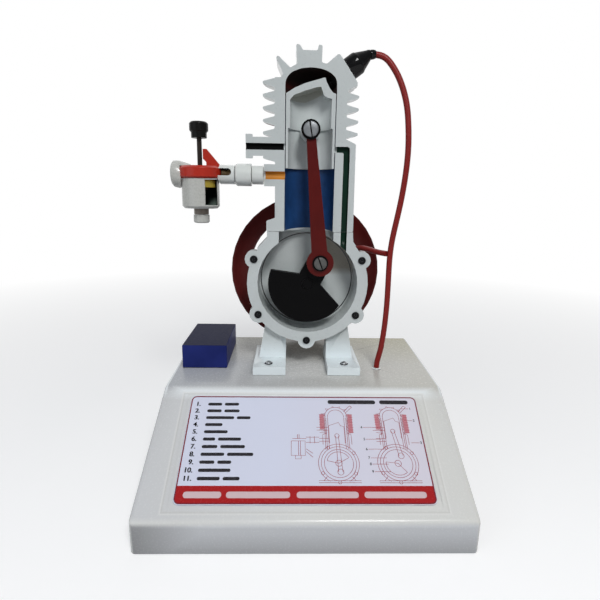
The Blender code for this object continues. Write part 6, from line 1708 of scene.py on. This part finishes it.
def seen_white(tree):
    """1 for the camera's rays and for rays that mirror or pass through."""
    path = tree.nodes.new("ShaderNodeLightPath").outputs
    total = math_node(tree, "ADD", path["Is Camera Ray"], path["Is Glossy Ray"], clamp=True)
    return math_node(tree, "ADD", total, path["Is Transmission Ray"], clamp=True)


def mix_shaders(tree, share, first, second, target):
    """Two shaders mixed into a target, where a share of 1 gives the second."""
    node = tree.nodes.new("ShaderNodeMixShader")
    for index, source in enumerate((share, first, second)):
        tree.links.new(source, node.inputs[index])
    tree.links.new(node.outputs[0], target)


def add_surround(strength):
    """White for the camera's rays and for reflections of what is behind, and soft for all other rays."""
    world = bpy.data.worlds.new("surround")
    bpy.context.scene.world = world
    world.use_nodes = True
    tree = world.node_tree
    tree.nodes.clear()
    soft = add_node(tree, "ShaderNodeBackground", {"Color": (0.92, 0.95, 1.0, 1), "Strength": strength})
    white = add_node(tree, "ShaderNodeBackground", {"Color": (1, 1, 1, 1), "Strength": 1.0})
    path = tree.nodes.new("ShaderNodeLightPath").outputs
    seen = math_node(tree, "ADD", path["Is Camera Ray"], path["Is Transmission Ray"], clamp=True)
    heading = tree.nodes.new("ShaderNodeTexCoord").outputs["Generated"]
    behind = add_node(tree, "ShaderNodeSeparateXYZ", {"Vector": heading}).outputs["Y"]
    glossy = product(tree, path["Is Glossy Ray"], ranged(tree, behind, -0.3, 0.5))
    target = tree.nodes.new("ShaderNodeOutputWorld").inputs["Surface"]
    mix_shaders(tree, math_node(tree, "MAXIMUM", seen, glossy), soft.outputs[0], white.outputs[0], target)


def add_floor():
    """A pale floor that catches soft shadows near the model and is white further off."""
    bm = bmesh.new()
    bmesh.ops.create_circle(bm, cap_ends=True, segments=96, radius=FLOOR_RADIUS)
    floor = bpy.data.objects.new("floor", mesh_from(bm, "floor"))
    floor.location.z = FLOOR_Z
    bpy.context.scene.collection.objects.link(floor)
    look = bpy.data.materials.new("floor_pale")
    look.use_nodes = True
    tree = look.node_tree
    shader = tree.nodes["Principled BSDF"]
    seen = seen_white(tree)
    colour = mix_colour(tree, seen, (0.34, 0.34, 0.35), (0.82, 0.82, 0.82))
    tree.links.new(colour, shader.inputs["Base Color"])
    shader.inputs["Roughness"].default_value = 0.85
    away = add_node(tree, "ShaderNodeVectorMath", {0: rest_place(tree)}, operation="LENGTH").outputs["Value"]
    share = product(tree, ranged(tree, away, FADE_START, FADE_END), seen)
    white = add_node(tree, "ShaderNodeEmission", {"Color": (1, 1, 1, 1), "Strength": 1.0})
    glow = {"Color": (1, 1, 1, 1), "Strength": product(tree, seen, FLOOR_GLOW)}
    lifted = tree.nodes.new("ShaderNodeAddShader")
    tree.links.new(shader.outputs[0], lifted.inputs[0])
    tree.links.new(add_node(tree, "ShaderNodeEmission", glow).outputs[0], lifted.inputs[1])
    target = tree.nodes["Material Output"].inputs["Surface"]
    mix_shaders(tree, share, lifted.outputs[0], white.outputs[0], target)
    floor.data.materials.append(look)


class ENGINE_OT_stage(bpy.types.Operator):
    """Set the floor, the surround, the lamps and the camera"""
    bl_idname = "engine_model.stage"
    bl_label = "Set the stage"

    def execute(self, context):
        stage = settings("engine_stage")
        add_surround(stage.world)
        add_floor()
        for *lamp, power in LAMPS:
            add_lamp(*lamp, getattr(stage, power))
        add_camera()
        context.scene.view_settings.view_transform = "Standard"
        return {"FINISHED"}


OPERATORS = (
    ENGINE_OT_finishes, ENGINE_OT_stand, ENGINE_OT_label, ENGINE_OT_castings, ENGINE_OT_screws,
    ENGINE_OT_crank_train, ENGINE_OT_contact_breaker, ENGINE_OT_carburettor, ENGINE_OT_leads, ENGINE_OT_stage,
)
SETTINGS = (
    ("engine_stand", StandSettings), ("engine_parts", EngineSettings), ("engine_stage", StageSettings),
)


class ENGINE_PT_model(bpy.types.Panel):
    """The engine model's steps and settings"""
    bl_idname = "ENGINE_PT_model"
    bl_label = "Engine model"
    bl_space_type = "VIEW_3D"
    bl_region_type = "UI"
    bl_category = "Engine model"

    def draw(self, context):
        for operator in OPERATORS:
            self.layout.operator(operator.bl_idname)
        for name, group in SETTINGS:
            for label in group.__annotations__:
                self.layout.prop(getattr(context.scene, name), label)


def register():
    for name, group in SETTINGS:
        bpy.utils.register_class(group)
        setattr(bpy.types.Scene, name, PointerProperty(type=group))
    for made in (*OPERATORS, ENGINE_PT_model):
        bpy.utils.register_class(made)


def unregister():
    for made in reversed((*OPERATORS, ENGINE_PT_model)):
        bpy.utils.unregister_class(made)
    for name, group in reversed(SETTINGS):
        delattr(bpy.types.Scene, name)
        bpy.utils.unregister_class(group)


def main():
    register()
    bpy.ops.engine_model.finishes()
    bpy.ops.engine_model.stand()
    bpy.ops.engine_model.label()
    bpy.ops.engine_model.castings()
    bpy.ops.engine_model.screws()
    bpy.ops.engine_model.crank_train()
    bpy.ops.engine_model.contact_breaker()
    bpy.ops.engine_model.carburettor()
    bpy.ops.engine_model.leads()
    bpy.ops.engine_model.stage()
    bpy.context.view_layer.update()


if __name__ == "__main__":
    main()
